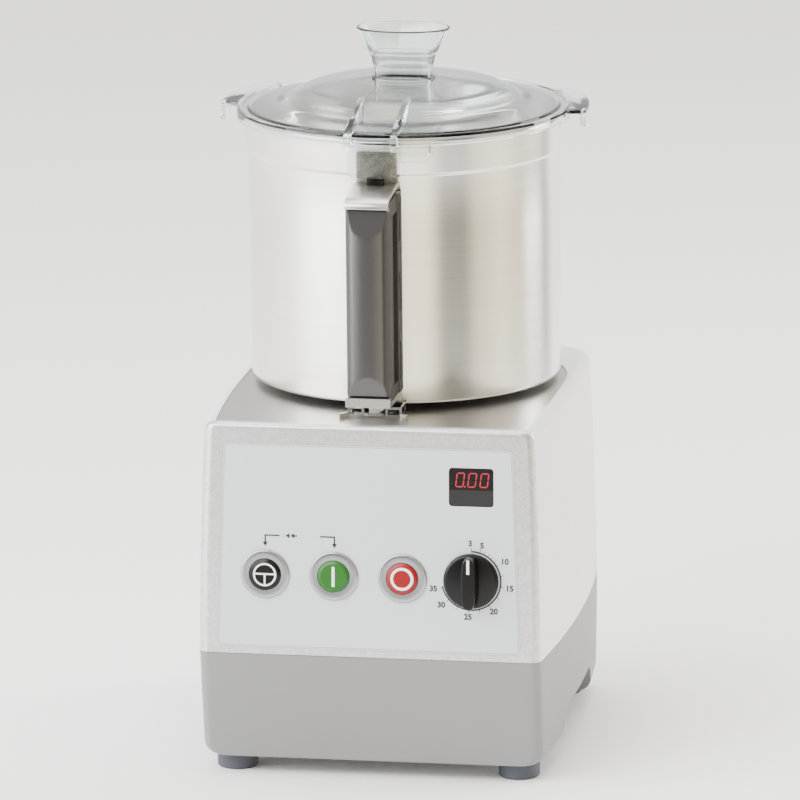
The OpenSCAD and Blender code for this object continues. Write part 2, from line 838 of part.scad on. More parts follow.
// Button cap: a crowned disc, a flange that stops under the ring and a stem
module button_cap() {
    low = overlay_face - cap_proud;
    flange_at = overlay_face + over + fit;
    rotate([-90, 0, 0]) rotate_extrude() polygon([[0, low], [cap_r - 2 * over, low], [cap_r, low + over],
        [cap_r, flange_at], [cap_r + flange_out, flange_at], [cap_r + flange_out, flange_at + cap_flange_t],
        [stem_r, flange_at + cap_flange_t], [stem_r, board_d - switch_w / 2 - button_travel],
        [0, board_d - switch_w / 2 - button_travel]]);
}

module pulse_cap() color(deep_black) on_face(-control_x, control_v) button_cap();
module start_cap() color(signal_green) on_face(-0.5 * control_pitch, control_v) button_cap();
module stop_cap() color(signal_red) on_face(0.5 * control_pitch, control_v) button_cap();

module control_nuts() color(cast_grey) {
    each_button() difference() {
        plug(barrel_out_r + nut_out, bezel_t, bezel_t + nut_t, $fn = 12);
        plug(barrel_out_r + run_fit, 0, bezel_t + 2 * nut_t);
    }
    on_face(control_x, control_v) difference() {
        plug(pot_nut_r, overlay_face - pot_nut_t, overlay_face, $fn = 6);
        plug(bush_r + run_fit, overlay_face - 2 * pot_nut_t, bezel_t);
    }
}

module control_board() color(board_green) {
    difference() {
        on_face(-0.42 * control_pitch) block([-1.35 * control_pitch - board_end / 2, board_d, board_low],
            [1.35 * control_pitch + board_end / 2, board_d + board_t, board_high]);
        each_pillar(small_screw_r + run_fit, 0, board_d + 2 * board_t);
    }
    each_button() block([-switch_w / 2, board_d - switch_w / 2 + fit, -switch_w / 2],
        [switch_w / 2, board_d, switch_w / 2]);
}

module speed_potentiometer() color(cast_grey) on_face(control_x, control_v) {
    plug(pot_r, bezel_t, bezel_t + pot_d);
    plug(bush_r, overlay_face - pot_nut_t, bezel_t + over);
    plug(spindle_r, overlay_face - spindle_len, bezel_t);
}

module speed_knob() color(deep_black) on_face(control_x, control_v) difference() {
    union() {
        plug(knob_r, overlay_face - knob_gap - knob_skirt_h, overlay_face - knob_gap);
        intersection() {
            plug(knob_r - over, overlay_face - knob_h, overlay_face - knob_gap);
            block([-knob_ridge_half, overlay_face - knob_h, -knob_r],
                [knob_ridge_half, overlay_face - knob_gap, knob_r]);
        }
    }
    plug(spindle_r + run_fit, overlay_face - spindle_len - over, overlay_face);
    plug(knob_well_r, overlay_face - knob_well_d, overlay_face);
}

// Deck plate: brushed sheet with straight sides and a round rear end about the bowl's axis
function deck_outline(shrink) =
    let (y0 = front_y + front_in(deck_z) + bezel_t + shrink + seam,
        r = side_x(deck_z, bowl_y) - deck_margin - shrink,
        side = [for (i = [0:side_steps]) let (y = y0 + (bowl_y - y0) * i / side_steps)
            [side_x(deck_z, y) - deck_margin - shrink, y]],
        rear = arc_points([0, bowl_y], r, 0, 180, 4 * side_steps))
    concat(side, [for (i = [1:4 * side_steps - 1]) rear[i]],
        [for (i = [side_steps:-1:0]) [-side[i][0], side[i][1]]]);

module deck_plate() color(brushed_steel) difference() {
    translate([0, 0, deck_z - deck_t]) linear_extrude(deck_t) polygon(deck_outline(fit));
    at_bowl(roof_z) cylinder(r = spigot_r + fit, h = housing_h);
    slot_cut(roof_z, housing_h);
    each_seat_screw() translate([0, 0, -housing_h / 2]) cylinder(r = seat_screw_r + run_fit, h = housing_h);
}

// Bowl seat: turned flange on the deck with a collar that centres the bowl
module bowl_seat() color(cast_grey) difference() {
    at_bowl(deck_z) rotate_extrude() polygon([[seat_bore_r, roof_z - deck_z], [spigot_r, roof_z - deck_z],
        [spigot_r, 0], [seat_flange_r, 0], [seat_flange_r, seat_h - rest_gap], [collar_r, seat_h - rest_gap],
        [collar_r, seat_h + collar_h - over], [collar_r - over, seat_h + collar_h],
        [seal_r + run_fit, seat_h + collar_h], [seal_r + run_fit, seat_h + collar_h - seal_h - over],
        [seat_bore_r, seat_h + collar_h - seal_h - over]]);
    each_seat_screw() translate([0, 0, -housing_h / 2]) cylinder(r = seat_screw_r + run_fit, h = housing_h);
    each_seat_screw() translate([0, 0, -seat_head_t - rest_gap])
        cylinder(r = seat_head_r + run_fit, h = seat_h);
}

module seat_screws() color(bright_steel) each_seat_screw() {
    translate([0, 0, -seat_head_t - rest_gap]) cylinder(r = seat_head_r, h = seat_head_t);
    translate([0, 0, -seat_screw_len]) cylinder(r = seat_screw_r, h = seat_screw_len - seat_head_t);
}

module shaft_seal() color(deep_black) at_bowl(bowl_z + collar_h - seal_h) rotate_extrude()
    polygon([[seal_r, 0], [seal_r, seal_h], [shaft_r + seal_lip, seal_h],
        [shaft_r + seal_lip, seal_h - 1.5 * over],
        [shaft_r + 3 * seal_lip, seal_h - 1.5 * over], [shaft_r + 3 * seal_lip, 0]]);

// Deck clip: bent sheet with two upright loops and two wings that guide the handle's foot
module clip_loop() {
    difference() {
        block([loop_in, -clip_front, 0], [clip_half_w, -clip_front + clip_t, loop_h]);
        block([loop_in + loop_wire, -clip_front - over, clip_t + loop_wire / 2],
            [clip_half_w - loop_wire, -clip_front + clip_t + over, loop_h - loop_wire]);
    }
    difference() {
        block([clip_half_w - clip_t, -clip_front, 0], [clip_half_w, -loop_rear, loop_h]);
        block([clip_half_w - clip_t - over, -clip_front + 2 * clip_t + loop_wire, clip_t + loop_wire / 2],
            [clip_half_w + over, -loop_rear - loop_wire, loop_h - loop_wire]);
    }
    translate([clip_half_w - clip_t, -clip_front, 0]) rotate([0, 0, -90 + wing_turn])
        block([0, 0, 0], [wing_len, clip_t, loop_h / 2]);
}

module deck_clip() color(bright_steel) at_bowl(deck_z) {
    difference() {
        block([-clip_half_w, -clip_front, 0], [clip_half_w, -clip_rear, clip_t]);
        block([-clip_open_half, -rod_at - slot_half_d - over, -over],
            [clip_open_half, -clip_rear + over, clip_t + over]);
    }
    clip_loop();
    mirror([1, 0, 0]) clip_loop();
}

module safety_switch() color(deep_black) difference() {
    at_bowl() block([-switch_body_w / 2, -rod_at - switch_body_d / 2, roof_z - switch_body_h],
        [switch_body_w / 2, -rod_at + switch_body_d / 2, roof_z]);
    slot_cut(roof_z - slot_half_d, roof_z + over, -over);
}

// Motor, hung under the deck
module bearing(r_in) {
    groove = bearing_h / 6;
    rotate_extrude() polygon([[r_in, 0], [r_in + groove, 0], [r_in + groove, groove / 2],
        [bearing_r - groove, groove / 2], [bearing_r - groove, 0], [bearing_r, 0], [bearing_r, bearing_h],
        [bearing_r - groove, bearing_h], [bearing_r - groove, bearing_h - groove / 2],
        [r_in + groove, bearing_h - groove / 2], [r_in + groove, bearing_h], [r_in, bearing_h]]);
}

bearing_top_z = motor_plate_z + motor_plate_t + bearing_boss_h;

module motor_plate() color(cast_grey) difference() {
    union() {
        at_bowl(motor_plate_z) linear_extrude(motor_plate_t)
            polygon(rounded(box_outline(2 * motor_plate_half, 2 * motor_plate_half), boss_r));
        at_bowl(motor_plate_z) cylinder(r = bearing_boss_r, h = motor_plate_t + bearing_boss_h);
    }
    at_bowl(bearing_top_z - bearing_h) cylinder(r = bearing_r + run_fit, h = 2 * bearing_h);
    at_bowl(motor_plate_z - over) cylinder(r = bearing_r - bearing_lip, h = motor_plate_t);
    each_motor_post() translate([0, 0, motor_plate_z - over])
        cylinder(r = motor_bolt_r + run_fit, h = motor_plate_t + 2 * over);
}

module motor_screws() color(bright_steel) each_motor_post() translate([0, 0, motor_plate_z]) {
    translate([0, 0, -motor_bolt_head_t]) cylinder(r = motor_bolt_head_r, h = motor_bolt_head_t, $fn = 6);
    cylinder(r = motor_bolt_r, h = motor_plate_t + mount_drop / 2);
}

module motor_frame() color(cast_grey) difference() {
    at_bowl(motor_low_z) union() {
        cylinder(r = motor_r, h = motor_len);
        for (i = [0:11]) rotate([0, 0, 30 * i]) translate([motor_r - over, -fin_t / 2, barrel_wall])
            cube([barrel_wall, fin_t, motor_len - 2 * barrel_wall]);
    }
    at_bowl(motor_low_z - over) cylinder(r = motor_r - barrel_wall, h = motor_len + 2 * over);
}

module motor_stator() color(copper) at_bowl(stator_z) difference() {
    cylinder(r = motor_r - barrel_wall - run_fit, h = stator_h);
    translate([0, 0, -over]) cylinder(r = rotor_r + air_gap, h = stator_h + 2 * over);
    for (i = [0:11]) rotate([0, 0, 30 * i]) translate([rotor_r, -fin_t, -over])
        cube([barrel_wall + 2 * fin_t, 2 * fin_t, stator_h + 2 * over]);
}

module motor_lower_shield() color(cast_grey) at_bowl(shield_z) difference() {
    cylinder(r = motor_r, h = shield_t);
    translate([0, 0, bearing_lip]) cylinder(r = bearing_r + run_fit, h = shield_t);
    translate([0, 0, -over]) cylinder(r = bearing_r - bearing_lip, h = shield_t);
    for (i = [0:5]) rotate([0, 0, 60 * i]) translate([(bearing_r + motor_r) / 2, 0, -over])
        cylinder(r = boss_r, h = shield_t + 2 * over);
}

module upper_bearing() color(bright_steel) at_bowl(bearing_top_z - bearing_h) bearing(shaft_r + run_fit);
module lower_bearing() color(bright_steel) at_bowl(shield_z + bearing_lip) bearing(shaft_r + run_fit);

module motor_shaft() color(bright_steel) difference() {
    at_bowl(shaft_low_z) cylinder(r = shaft_r, h = bowl_z + shaft_top - shaft_low_z);
    at_bowl(bowl_z) block([shaft_r - flat_cut, -shaft_r, hub_roof_h],
        [2 * shaft_r, shaft_r, shaft_top + over]);
}

module rotor_core() color(copper) at_bowl(stator_z) difference() {
    cylinder(r = rotor_r, h = stator_h);
    translate([0, 0, -over]) cylinder(r = shaft_r, h = stator_h + 2 * over);
}

module motor_fan() color(deep_black) at_bowl(shield_z - fan_drop - fan_h) difference() {
    union() {
        cylinder(r = fan_hub_r, h = fan_h);
        cylinder(r = fan_r, h = fan_blade_t);
        for (i = [0:fan_blades - 1]) rotate([0, 0, 360 * i / fan_blades])
            block([fan_hub_r - over, -fan_blade_t / 2, over], [fan_r - 2 * over, fan_blade_t / 2, fan_h - over]);
    }
    translate([0, 0, -over]) cylinder(r = shaft_r, h = fan_h + 2 * over);
}

// Electronics on the rear wall
sink_y = rear_y - shell_t - sink_plate_t - fit / 2;

module heat_sink() color(satin_aluminium) {
    block([sink_x - sink_w / 2, sink_y, sink_z],
        [sink_x + sink_w / 2, sink_y + sink_plate_t, sink_z + sink_h]);
    for (i = [0:fin_count - 1]) let (x = sink_x - sink_w / 2 + i * (sink_w - fin_t) / (fin_count - 1))
        block([x, sink_y - fin_d, sink_z], [x + fin_t, sink_y + over, sink_z + sink_h]);
}

module inverter_board() color(board_green)
    block([sink_x - inverter_w / 2, sink_y - fin_d - board_t, sink_z - fin_t],
        [sink_x + inverter_w / 2, sink_y - fin_d, sink_z - fin_t + inverter_h]);

module capacitors() color(deep_black) for (i = [-1:1])
    translate([sink_x + i * capacitor_pitch, sink_y - fin_d - board_t, sink_z])
        translate([0, 0, capacitor_r + capacitor_pitch / 2])
            rotate([90, 0, 0]) cylinder(r = capacitor_r, h = capacitor_len);

// Bowl
module bowl_shell() color(bright_steel) at_bowl(bowl_z) rotate_extrude() polygon(concat(
    [[chimney_r - chimney_t, chimney_h], [chimney_r - chimney_t, recess_h],
        [recess_r, recess_h], [recess_r, 0]],
    arc_points([bowl_r - bowl_edge_r, bowl_edge_r], bowl_edge_r, -90, 0),
    [[bowl_r, step_h - step_run], [band_r, step_h], [band_r, bowl_h - rim_t - rim_flare],
        [rim_r, bowl_h - rim_t], [rim_r, bowl_h], [band_r - bowl_t, bowl_h],
        [band_r - bowl_t, step_h + step_run / 2], [bowl_r - bowl_t, step_h - step_run / 2]],
    arc_points([bowl_r - bowl_edge_r, bowl_edge_r], bowl_edge_r - bowl_t, 0, -90),
    [[recess_r + bowl_t, bowl_t], [recess_r + bowl_t, recess_h + bowl_t], [chimney_r, recess_h + bowl_t],
        [chimney_r, chimney_h]]));

// Handle: the grip stands between an upper bracket and a foot strap, both welded to the bowl
bracket_out = band_r + weld_gap + strap_t;
post_in = bracket_out - strap_t;

module handle_bracket() color(bright_steel) at_bowl(bowl_z) difference() {
    union() {
        along_x(2 * post_half_w) polygon([[-bracket_out, strap_h - strap_t], [-post_in, strap_h - strap_t],
            [-post_in, strap_h + post_h], [-bracket_out, strap_h + post_h]]);
        along_x(2 * strap_half_w) polygon(rounded([[-post_in, strap_h - strap_t], [-post_in, strap_h],
            [-handle_reach, strap_h - strap_drop], [-handle_reach, strap_h - strap_drop - strap_lip],
            [-handle_reach + strap_t, strap_h - strap_drop - strap_lip],
            [-handle_reach + strap_t, strap_h - strap_drop - strap_t]], strap_t / 4));
    }
    block([-plunger_half_w - fit, -rod_at - plunger_half_d - fit, strap_h / 2],
        [plunger_half_w + fit, -rod_at + plunger_half_d + fit, strap_h + strap_t]);
    cylinder(r = band_r + weld_gap, h = 2 * strap_h);
}

module handle_foot() color(bright_steel) at_bowl(bowl_z) difference() {
    along_x(2 * foot_half_w) polygon([[-handle_reach, foot_strap_h], [-bowl_r + over, foot_strap_h],
        [-bowl_r + over, foot_strap_h + foot_strap_t], [-handle_reach + strap_t, foot_strap_h + foot_strap_t],
        [-handle_reach + strap_t, foot_strap_h + foot_lip_h], [-handle_reach, foot_strap_h + foot_lip_h]]);
    cylinder(r = bowl_r + weld_gap, h = 2 * bowl_r);
    block([-tip_half_w - 2 * fit, -rod_at - tip_half_d - 2 * fit, 0],
        [tip_half_w + 2 * fit, -rod_at + tip_half_d + 2 * fit, 2 * foot_strap_h]);
    for (side = [-1, 1]) translate([side * handle_screw_x, -handle_screw_at, 0])
        cylinder(r = handle_screw_r + run_fit, h = 2 * foot_strap_h);
}

// Grip: a rounded front bar and a flat rear spine, joined above and below a finger gap
module grip_plan(front, rear, half_w, r) {
    polygon(concat([[half_w, -rear], [-half_w, -rear]],
        arc_points([-half_w + r, -front + r], r, 180, 270),
        arc_points([half_w - r, -front + r], r, 270, 360)));
}

module handle_grip() color(grip_grey) at_bowl(bowl_z) {
    low = foot_strap_h + foot_strap_t;
    lip_low = foot_strap_h + foot_lip_h + grip_lip_gap;
    lip_high = strap_h - strap_drop - strap_lip - grip_lip_gap;
    high = strap_h - strap_drop - strap_t - grip_lip_gap;
    front = handle_reach - strap_t - grip_lip_gap;
    spine_rear = spine_front - spine_d;
    difference() {
        union() {
            translate([0, 0, low]) linear_extrude(high - low)
                grip_plan(front, front - grip_d, grip_half_w, grip_edge_r);
            translate([0, 0, lip_low]) linear_extrude(lip_high - lip_low)
                grip_plan(handle_reach, front - grip_d, grip_half_w, grip_edge_r);
            translate([0, 0, low]) linear_extrude(high - low)
                grip_plan(spine_front, bowl_r - 2 * over, spine_half_w, over);
            translate([0, 0, low]) linear_extrude(loop_low_h - low)
                grip_plan(front - over, spine_rear, grip_half_w, grip_edge_r);
            translate([0, 0, loop_high_h]) linear_extrude(high - loop_high_h)
                grip_plan(front - over, spine_rear, grip_half_w, grip_edge_r);
        }
        cylinder(r = bowl_r + fit, h = 2 * bowl_h);
        translate([0, 0, step_h - step_run - over]) cylinder(r = band_r + fit, h = bowl_h);
        translate([0, -rod_at, 0]) cylinder(r = rod_r + fit, h = bowl_h);
        block([-plunger_half_w - fit, -rod_at - plunger_half_d - fit, plunger_low_h - over],
            [plunger_half_w + fit, -rod_at + plunger_half_d + fit, bowl_h]);
        block([-tip_half_w - fit, -rod_at - tip_half_d - fit, 0],
            [tip_half_w + fit, -rod_at + tip_half_d + fit, tip_high_h + rod_lift + over]);
        for (s = groove_low_shares, side = [-1, 1])
            translate([side * spine_half_w, 0, low + s * (high - low)])
                block([-groove_d, -rod_at - groove_w / 2, 0], [groove_d, -rod_at + groove_w / 2, groove_h]);
        for (side = [-1, 1]) translate([side * handle_screw_x, -handle_screw_at, 0])
            cylinder(r = handle_screw_r, h = foot_strap_h + handle_screw_len);
    }
}

module handle_screws() color(bright_steel) at_bowl(bowl_z + foot_strap_h) for (side = [-1, 1])
    translate([side * handle_screw_x, -handle_screw_at, 0]) {
        translate([0, 0, -handle_head_t]) cylinder(r = handle_head_r, h = handle_head_t);
        cylinder(r = handle_screw_r, h = handle_screw_len - over);
    }

// Safety rod: runs down through the spine and presses the switch under the deck
module safety_rod() color(bright_steel) at_bowl(bowl_z) translate([0, -rod_at, tip_high_h])
    cylinder(r = rod_r, h = plunger_low_h - tip_high_h);

module rod_plunger() color(deep_black) at_bowl(bowl_z)
    block([-plunger_half_w, -rod_at - plunger_half_d, plunger_low_h],
        [plunger_half_w, -rod_at + plunger_half_d, plunger_high_h]);

module rod_tip() color(soft_white) at_bowl(bowl_z) translate([0, -rod_at + tip_half_d, 0]) rotate([90, 0, 0])
    linear_extrude(2 * tip_half_d) polygon([[-tip_half_w, tip_low_h], [-tip_half_w + tip_nose, tip_low_h],
        [tip_half_w, tip_low_h + tip_slope_h], [tip_half_w, tip_high_h], [-tip_half_w, tip_high_h]]);

// Lid
module lid_seal() color(soft_white) at_bowl(rim_z + rest_gap) difference() {
    cylinder(r = rim_r - over / 2, h = seal_ring_t);
    translate([0, 0, -over]) cylinder(r = rim_r - seal_ring_w, h = seal_ring_t + 2 * over);
}

function dome_points(drop) = [for (s = dome_shares) [s[0] * dome_r, flange_top - drop + s[1] * dome_rise]];

// The outer surface of the lid, filled down to the skirt's edge
module lid_outer() {
    groove_z = flange_top - lid_groove_d;
    rotate_extrude() polygon(concat([[0, -skirt_drop], [skirt_r, -skirt_drop],
        [skirt_r - over / 2, flange_top], [groove_out_r, flange_top], [groove_out_r, groove_z],
        [groove_in_r, groove_z], [groove_in_r, flange_top]], dome_points(0)));
}

module lid_void() {
    rotate_extrude() polygon(concat([[0, -2 * latch_low], [skirt_r - skirt_t, -2 * latch_low],
        [skirt_r - skirt_t, flange_under], [dome_r, flange_under]],
        [for (i = [1:len(dome_shares) - 1]) dome_points(lid_t)[i]]));
}

module tube_cut(grow) {
    linear_extrude(2 * funnel_h, center = true)
        polygon(oval(tube_half_w + grow, tube_half_d + grow, neck_power));
}

module ear(turn) {
    rotate([0, 0, turn]) translate([0, 0, ear_low]) rotate_extrude(angle = ear_sweep)
        translate([skirt_r - 2 * over, 0]) square([ear_r - skirt_r + 2 * over, ear_t]);
}

module hook(turn) {
    rotate([0, 0, turn]) translate([0, 0, ear_low - hook_h]) rotate_extrude(angle = hook_sweep)
        translate([ear_r - seam - hook_t, 0]) square([hook_t, hook_h + over]);
}

module lid_dome() color(clear_plastic) at_bowl(rim_z) difference() {
    union() {
        lid_outer();
        ear(ear_from);
        ear(180 - ear_from - ear_sweep);
        hook(ear_from + hook_inset);
        hook(180 - ear_from - hook_inset - hook_sweep);
    }
    lid_void();
    tube_cut(fit / 2);
}

// Latch: ribs on the dome, a web past the skirt, a flap that hangs before the bowl and a side tongue
module latch_band(r_in, r_out, low, high, from_x, to_x) {
    intersection() {
        translate([0, 0, low]) difference() {
            cylinder(r = r_out, h = high - low);
            translate([0, 0, -over]) cylinder(r = r_in, h = high - low + 2 * over);
        }
        block([from_x, -2 * r_out, low - over], [to_x, 0, high + over]);
    }
}

module latch_rib(x) {
    translate([x, 0, 0]) along_x(latch_rib_t) polygon([[-latch_gap_r - latch_t, -latch_top],
        [-latch_rib_end, -latch_top], [-latch_rib_end, flange_top + dome_rise * 0.85],
        [-latch_rib_end - dome_rise, flange_top + dome_rise * 0.75],
        [-dome_r, flange_top + latch_rib_rise], [-latch_gap_r - latch_t, flange_top]]);
}

module lid_latch() color(clear_plastic) at_bowl(rim_z) difference() {
    out_r = latch_gap_r + latch_t;
    union() {
        latch_band(skirt_r - over, out_r, -latch_top, -latch_top + latch_web_t, -latch_half_w, latch_half_w);
        latch_band(latch_gap_r, out_r, -latch_low, -latch_top + over, -latch_half_w, latch_half_w);
        latch_band(skirt_r - skirt_t, skirt_r + latch_web_t, -tongue_low, -skirt_drop - rest_gap,
            latch_half_w - over, tongue_reach);
        latch_rib(-latch_rib_at - latch_web_t);
        latch_rib(latch_rib_at - latch_web_t);
    }
    lid_outer();
    difference() {
        translate([0, 0, -2 * latch_low]) cylinder(r = skirt_r - skirt_t + over / 2, h = 2 * latch_low);
        latch_band(0, skirt_r, -3 * latch_low, 0, 2 * bowl_r, 3 * bowl_r);
    }
}

// Feed funnel: oblong tube that flares to an oval mouth
function oval(a, b, power) = [for (i = [0:oval_steps - 1])
    let (c = cos(360 * i / oval_steps), s = sin(360 * i / oval_steps))
    [a * sign(c) * pow(abs(c), power), b * sign(s) * pow(abs(s), power)]];

module funnel_form(inset, past) {
    tube = oval(tube_half_w - inset, tube_half_d - inset, neck_power);
    ring = oval(ring_half_w - inset, ring_half_d - inset, neck_power);
    mouth = oval(mouth_half_w - inset, mouth_half_d - inset, mouth_power);
    lofted([tube, tube, ring, mouth], [funnel_low - past, neck_h, ring_h, funnel_h + past]);
}

module feed_funnel() color(clear_plastic) at_bowl(rim_z) difference() {
    union() {
        funnel_form(0, 0);
        translate([0, 0, flange_top + dome_rise]) linear_extrude(collar_t)
            polygon(oval(tube_half_w + collar_out, tube_half_d + collar_out, neck_power));
    }
    funnel_form(funnel_t, sliver);
}

// Cutter: a keyed hub over the chimney carries two curved two-armed blades under a cap
module blade_hub() color(deep_black) at_bowl(bowl_z) difference() {
    union() {
        translate([0, 0, hub_low_h]) cylinder(r = hub_r, h = hub_top_h - hub_low_h);
        translate([0, 0, hub_low_h]) cylinder(r = hub_r + hub_flange_out, h = low_blade_h - hub_low_h);
    }
    translate([0, 0, hub_low_h - over]) cylinder(r = chimney_r + hub_gap, h = hub_roof_h - hub_low_h + over);
    difference() {
        translate([0, 0, hub_low_h]) cylinder(r = shaft_r + run_fit, h = hub_top_h);
        block([shaft_r - flat_cut + run_fit, -shaft_r, hub_roof_h], [2 * shaft_r, shaft_r, 2 * hub_top_h]);
    }
}

// One arm: a root at the hub that sweeps back and narrows to the tip
function arm_point(s, side) =
    let (root = hub_r + 2 * over, r = root + (blade_reach - root) * s, turn = -blade_sweep * s * s,
        half = (blade_root_w + (blade_tip_w - blade_root_w) * s) / 2, a = turn - blade_sweep * s)
    [r * cos(turn), r * sin(turn)] + side * half * [-sin(a), cos(a)];

module blade(h, turn) {
    at_bowl(bowl_z + h) rotate([0, 0, turn]) difference() {
        union() {
            cylinder(r = hub_r + blade_ring_out, h = blade_t);
            for (a = [0, 180]) rotate([0, 0, a]) linear_extrude(blade_t) polygon(concat(
                [for (i = [0:blade_steps]) arm_point(i / blade_steps, -1)],
                [for (i = [blade_steps:-1:0]) arm_point(i / blade_steps, 1)]));
        }
        translate([0, 0, -over]) cylinder(r = hub_r + run_fit, h = blade_t + 2 * over);
    }
}

module lower_blade() color(bright_steel) blade(low_blade_h, 0);
module upper_blade() color(bright_steel) blade(high_blade_h, 90);

module blade_cap() color(deep_black) at_bowl(bowl_z) {
    r = hub_r + cap_wall;
    difference() {
        rotate_extrude() polygon(concat(
            [[hub_r + run_fit, high_blade_h + blade_t], [r, high_blade_h + blade_t]],
            arc_points([r - cap_round, cap_top_h - cap_round], cap_round, 0, 90),
            [[0, cap_top_h], [0, hub_top_h], [hub_r + run_fit, hub_top_h]]));
        cylinder(r = shaft_r + 2 * fit, h = shaft_top + over);
    }
    difference() {
        translate([0, 0, low_blade_h + blade_t]) cylinder(r = r, h = high_blade_h - low_blade_h - blade_t);
        cylinder(r = hub_r + run_fit, h = hub_top_h);
    }
}

plinth();
bottom_plate();
foot_front_left();
foot_front_right();
foot_rear_left();
foot_rear_right();
foot_screws();
cable_gland();
motor_housing();
rear_panel();
panel_screws();
front_bezel();
control_overlay();
display_window();
display_board();
pulse_bezel();
start_bezel();
stop_bezel();
control_nuts();
control_board();
speed_potentiometer();
deck_plate();
bowl_seat();
seat_screws();
shaft_seal();
deck_clip();
safety_switch();
motor_plate();
motor_screws();
motor_frame();
motor_lower_shield();
motor_stator();
upper_bearing();
lower_bearing();
heat_sink();
inverter_board();
capacitors();
motor_shaft();
rotor_core();
motor_fan();
pulse_cap();
start_cap();
stop_cap();
speed_knob();
bowl_shell();
handle_bracket();
handle_foot();
handle_grip();
handle_screws();
safety_rod();
rod_plunger();
rod_tip();
lid_seal();
lid_dome();
lid_latch();
feed_funnel();
blade_hub();
lower_blade();
upper_blade();
blade_cap();
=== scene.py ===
import json
import math

import bmesh
import bpy
from mathutils import Matrix, Vector


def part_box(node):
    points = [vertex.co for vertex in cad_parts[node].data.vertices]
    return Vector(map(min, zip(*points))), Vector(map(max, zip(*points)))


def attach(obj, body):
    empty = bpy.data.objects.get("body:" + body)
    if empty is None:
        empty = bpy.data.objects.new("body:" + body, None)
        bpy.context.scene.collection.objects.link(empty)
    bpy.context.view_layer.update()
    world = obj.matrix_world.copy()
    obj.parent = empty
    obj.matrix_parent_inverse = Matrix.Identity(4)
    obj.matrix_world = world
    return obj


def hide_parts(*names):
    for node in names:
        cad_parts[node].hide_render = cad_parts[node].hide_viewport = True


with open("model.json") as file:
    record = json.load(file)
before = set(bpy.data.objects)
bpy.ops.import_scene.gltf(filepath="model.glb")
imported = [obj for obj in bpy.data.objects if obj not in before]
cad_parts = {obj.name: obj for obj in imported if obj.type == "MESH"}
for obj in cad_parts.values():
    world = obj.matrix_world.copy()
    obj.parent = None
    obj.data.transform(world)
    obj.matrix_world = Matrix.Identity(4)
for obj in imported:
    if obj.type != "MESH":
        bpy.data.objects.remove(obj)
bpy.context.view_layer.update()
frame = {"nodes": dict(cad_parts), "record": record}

bl_info = {
    "name": "Vertical cutter mixer",
    "version": (1, 0, 0),
    "blender": (4, 5, 0),
    "location": "3D View > Sidebar > Cutter mixer",
    "description": "Dresses the frame of a bench-top cutter mixer with its finishes and fine pieces",
    "category": "Object",
}

MM = 0.001

# How far cutters run past the part, in millimetres
PAST = 300.0

# The base's form, in millimetres, as the frame has it
SEAM, BASE_DEPTH, AXIS_BACK = 94.7, 298.0, 25.0
HALF_WIDTH, BULGE_R, CROWN_R = 133.6, 1400.0, 3400.0
PANEL_TILT, SIDE_LEAN, PLINTH_TILT = math.radians(2.4), math.radians(0.4), math.radians(8.8)
FRONT_EDGE_R, REAR_CORNER_R = 8.0, 25.0
SIDE_TOP_R, REAR_TOP_R, FRONT_TOP_R, LOW_EDGE_R = 7.0, 14.0, 4.0, 10.0
FOOT_H, BASE_TOP = 13.2, 266.3
SEAM_GAP, BEZEL_T, WALL_T = 0.2, 5.0, 3.0
DECK_Z, DECK_T, DECK_MARGIN = 265.6, 1.5, 8.3
ROOF_LOW, ROOF_HIGH = 255.0, 270.0
VENT_X, VENT_Z, VENT_HALF_W, VENT_HALF_H, VENT_R = 48.0, 165.0, 48.3, 38.3, 2.5
LEAD_X, LEAD_Z = 60.0, 65.0

# Places that follow from the frame, in millimetres
BOWL_LOW, BOWL_HIGH = ([c / MM for c in corner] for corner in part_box("bowl_shell"))
AXIS = (BOWL_LOW[1] + BOWL_HIGH[1]) / 2
FLOOR, RIM = BOWL_LOW[2], BOWL_HIGH[2]
MIDDLE = AXIS - AXIS_BACK
FRONT, REAR = MIDDLE - BASE_DEPTH / 2, MIDDLE + BASE_DEPTH / 2

# The panel: heights run up its slope from the seam, depths outward from the bezel's face
FILM_LOW_HALF, FILM_HIGH_HALF, FILM_LOW_V, FILM_HIGH_V = 112.0, 106.4, 5.5, 157.0
CONTROL_V, CONTROL_PITCH = 60.0, 50.7
CONTROL_XS = [CONTROL_PITCH * (i - 1.5) for i in range(4)]
PULSE_X, START_X, STOP_X, KNOB_X = CONTROL_XS
PRINT_FACE, PRINT_T = 0.3, 0.06

# The bowl's wall, and the band above the step in it
BOWL_R, BAND_R = 115.0, 116.7

# The handle, the safety rod and the clip: distances in front of the bowl's axis, and half widths
ROD_AT, GRIP_FRONT, GRIP_REAR, GRIP_HALF = 124.0, 164.9, 145.6, 16.4
PLUNGER_HALF_W, PLUNGER_HALF_D, BOWL_GAP = 6.6, 2.4, 0.3
DECK_SLOT_HALF, CLIP_FRONT, CLIP_REAR, CLIP_LOOP_REAR = 7.5, 137.0, 111.0, 117.0

# The lid: its skirt, the groove round its edge and its dome
SKIRT_R, SKIRT_H, LID_TOP, LID_GROOVE, LID_WALL = 123.7, 3.5, 4.5, 1.0, 2.7
DOME_R, DOME_RISE = 112.0, 19.5
DOME_SHARES = [(1, 0), (0.84, 0.13), (0.75, 0.4), (0.67, 0.65), (0.59, 0.8), (0.45, 0.93), (0.3, 1.0)]
TUBE_POWER = 0.62

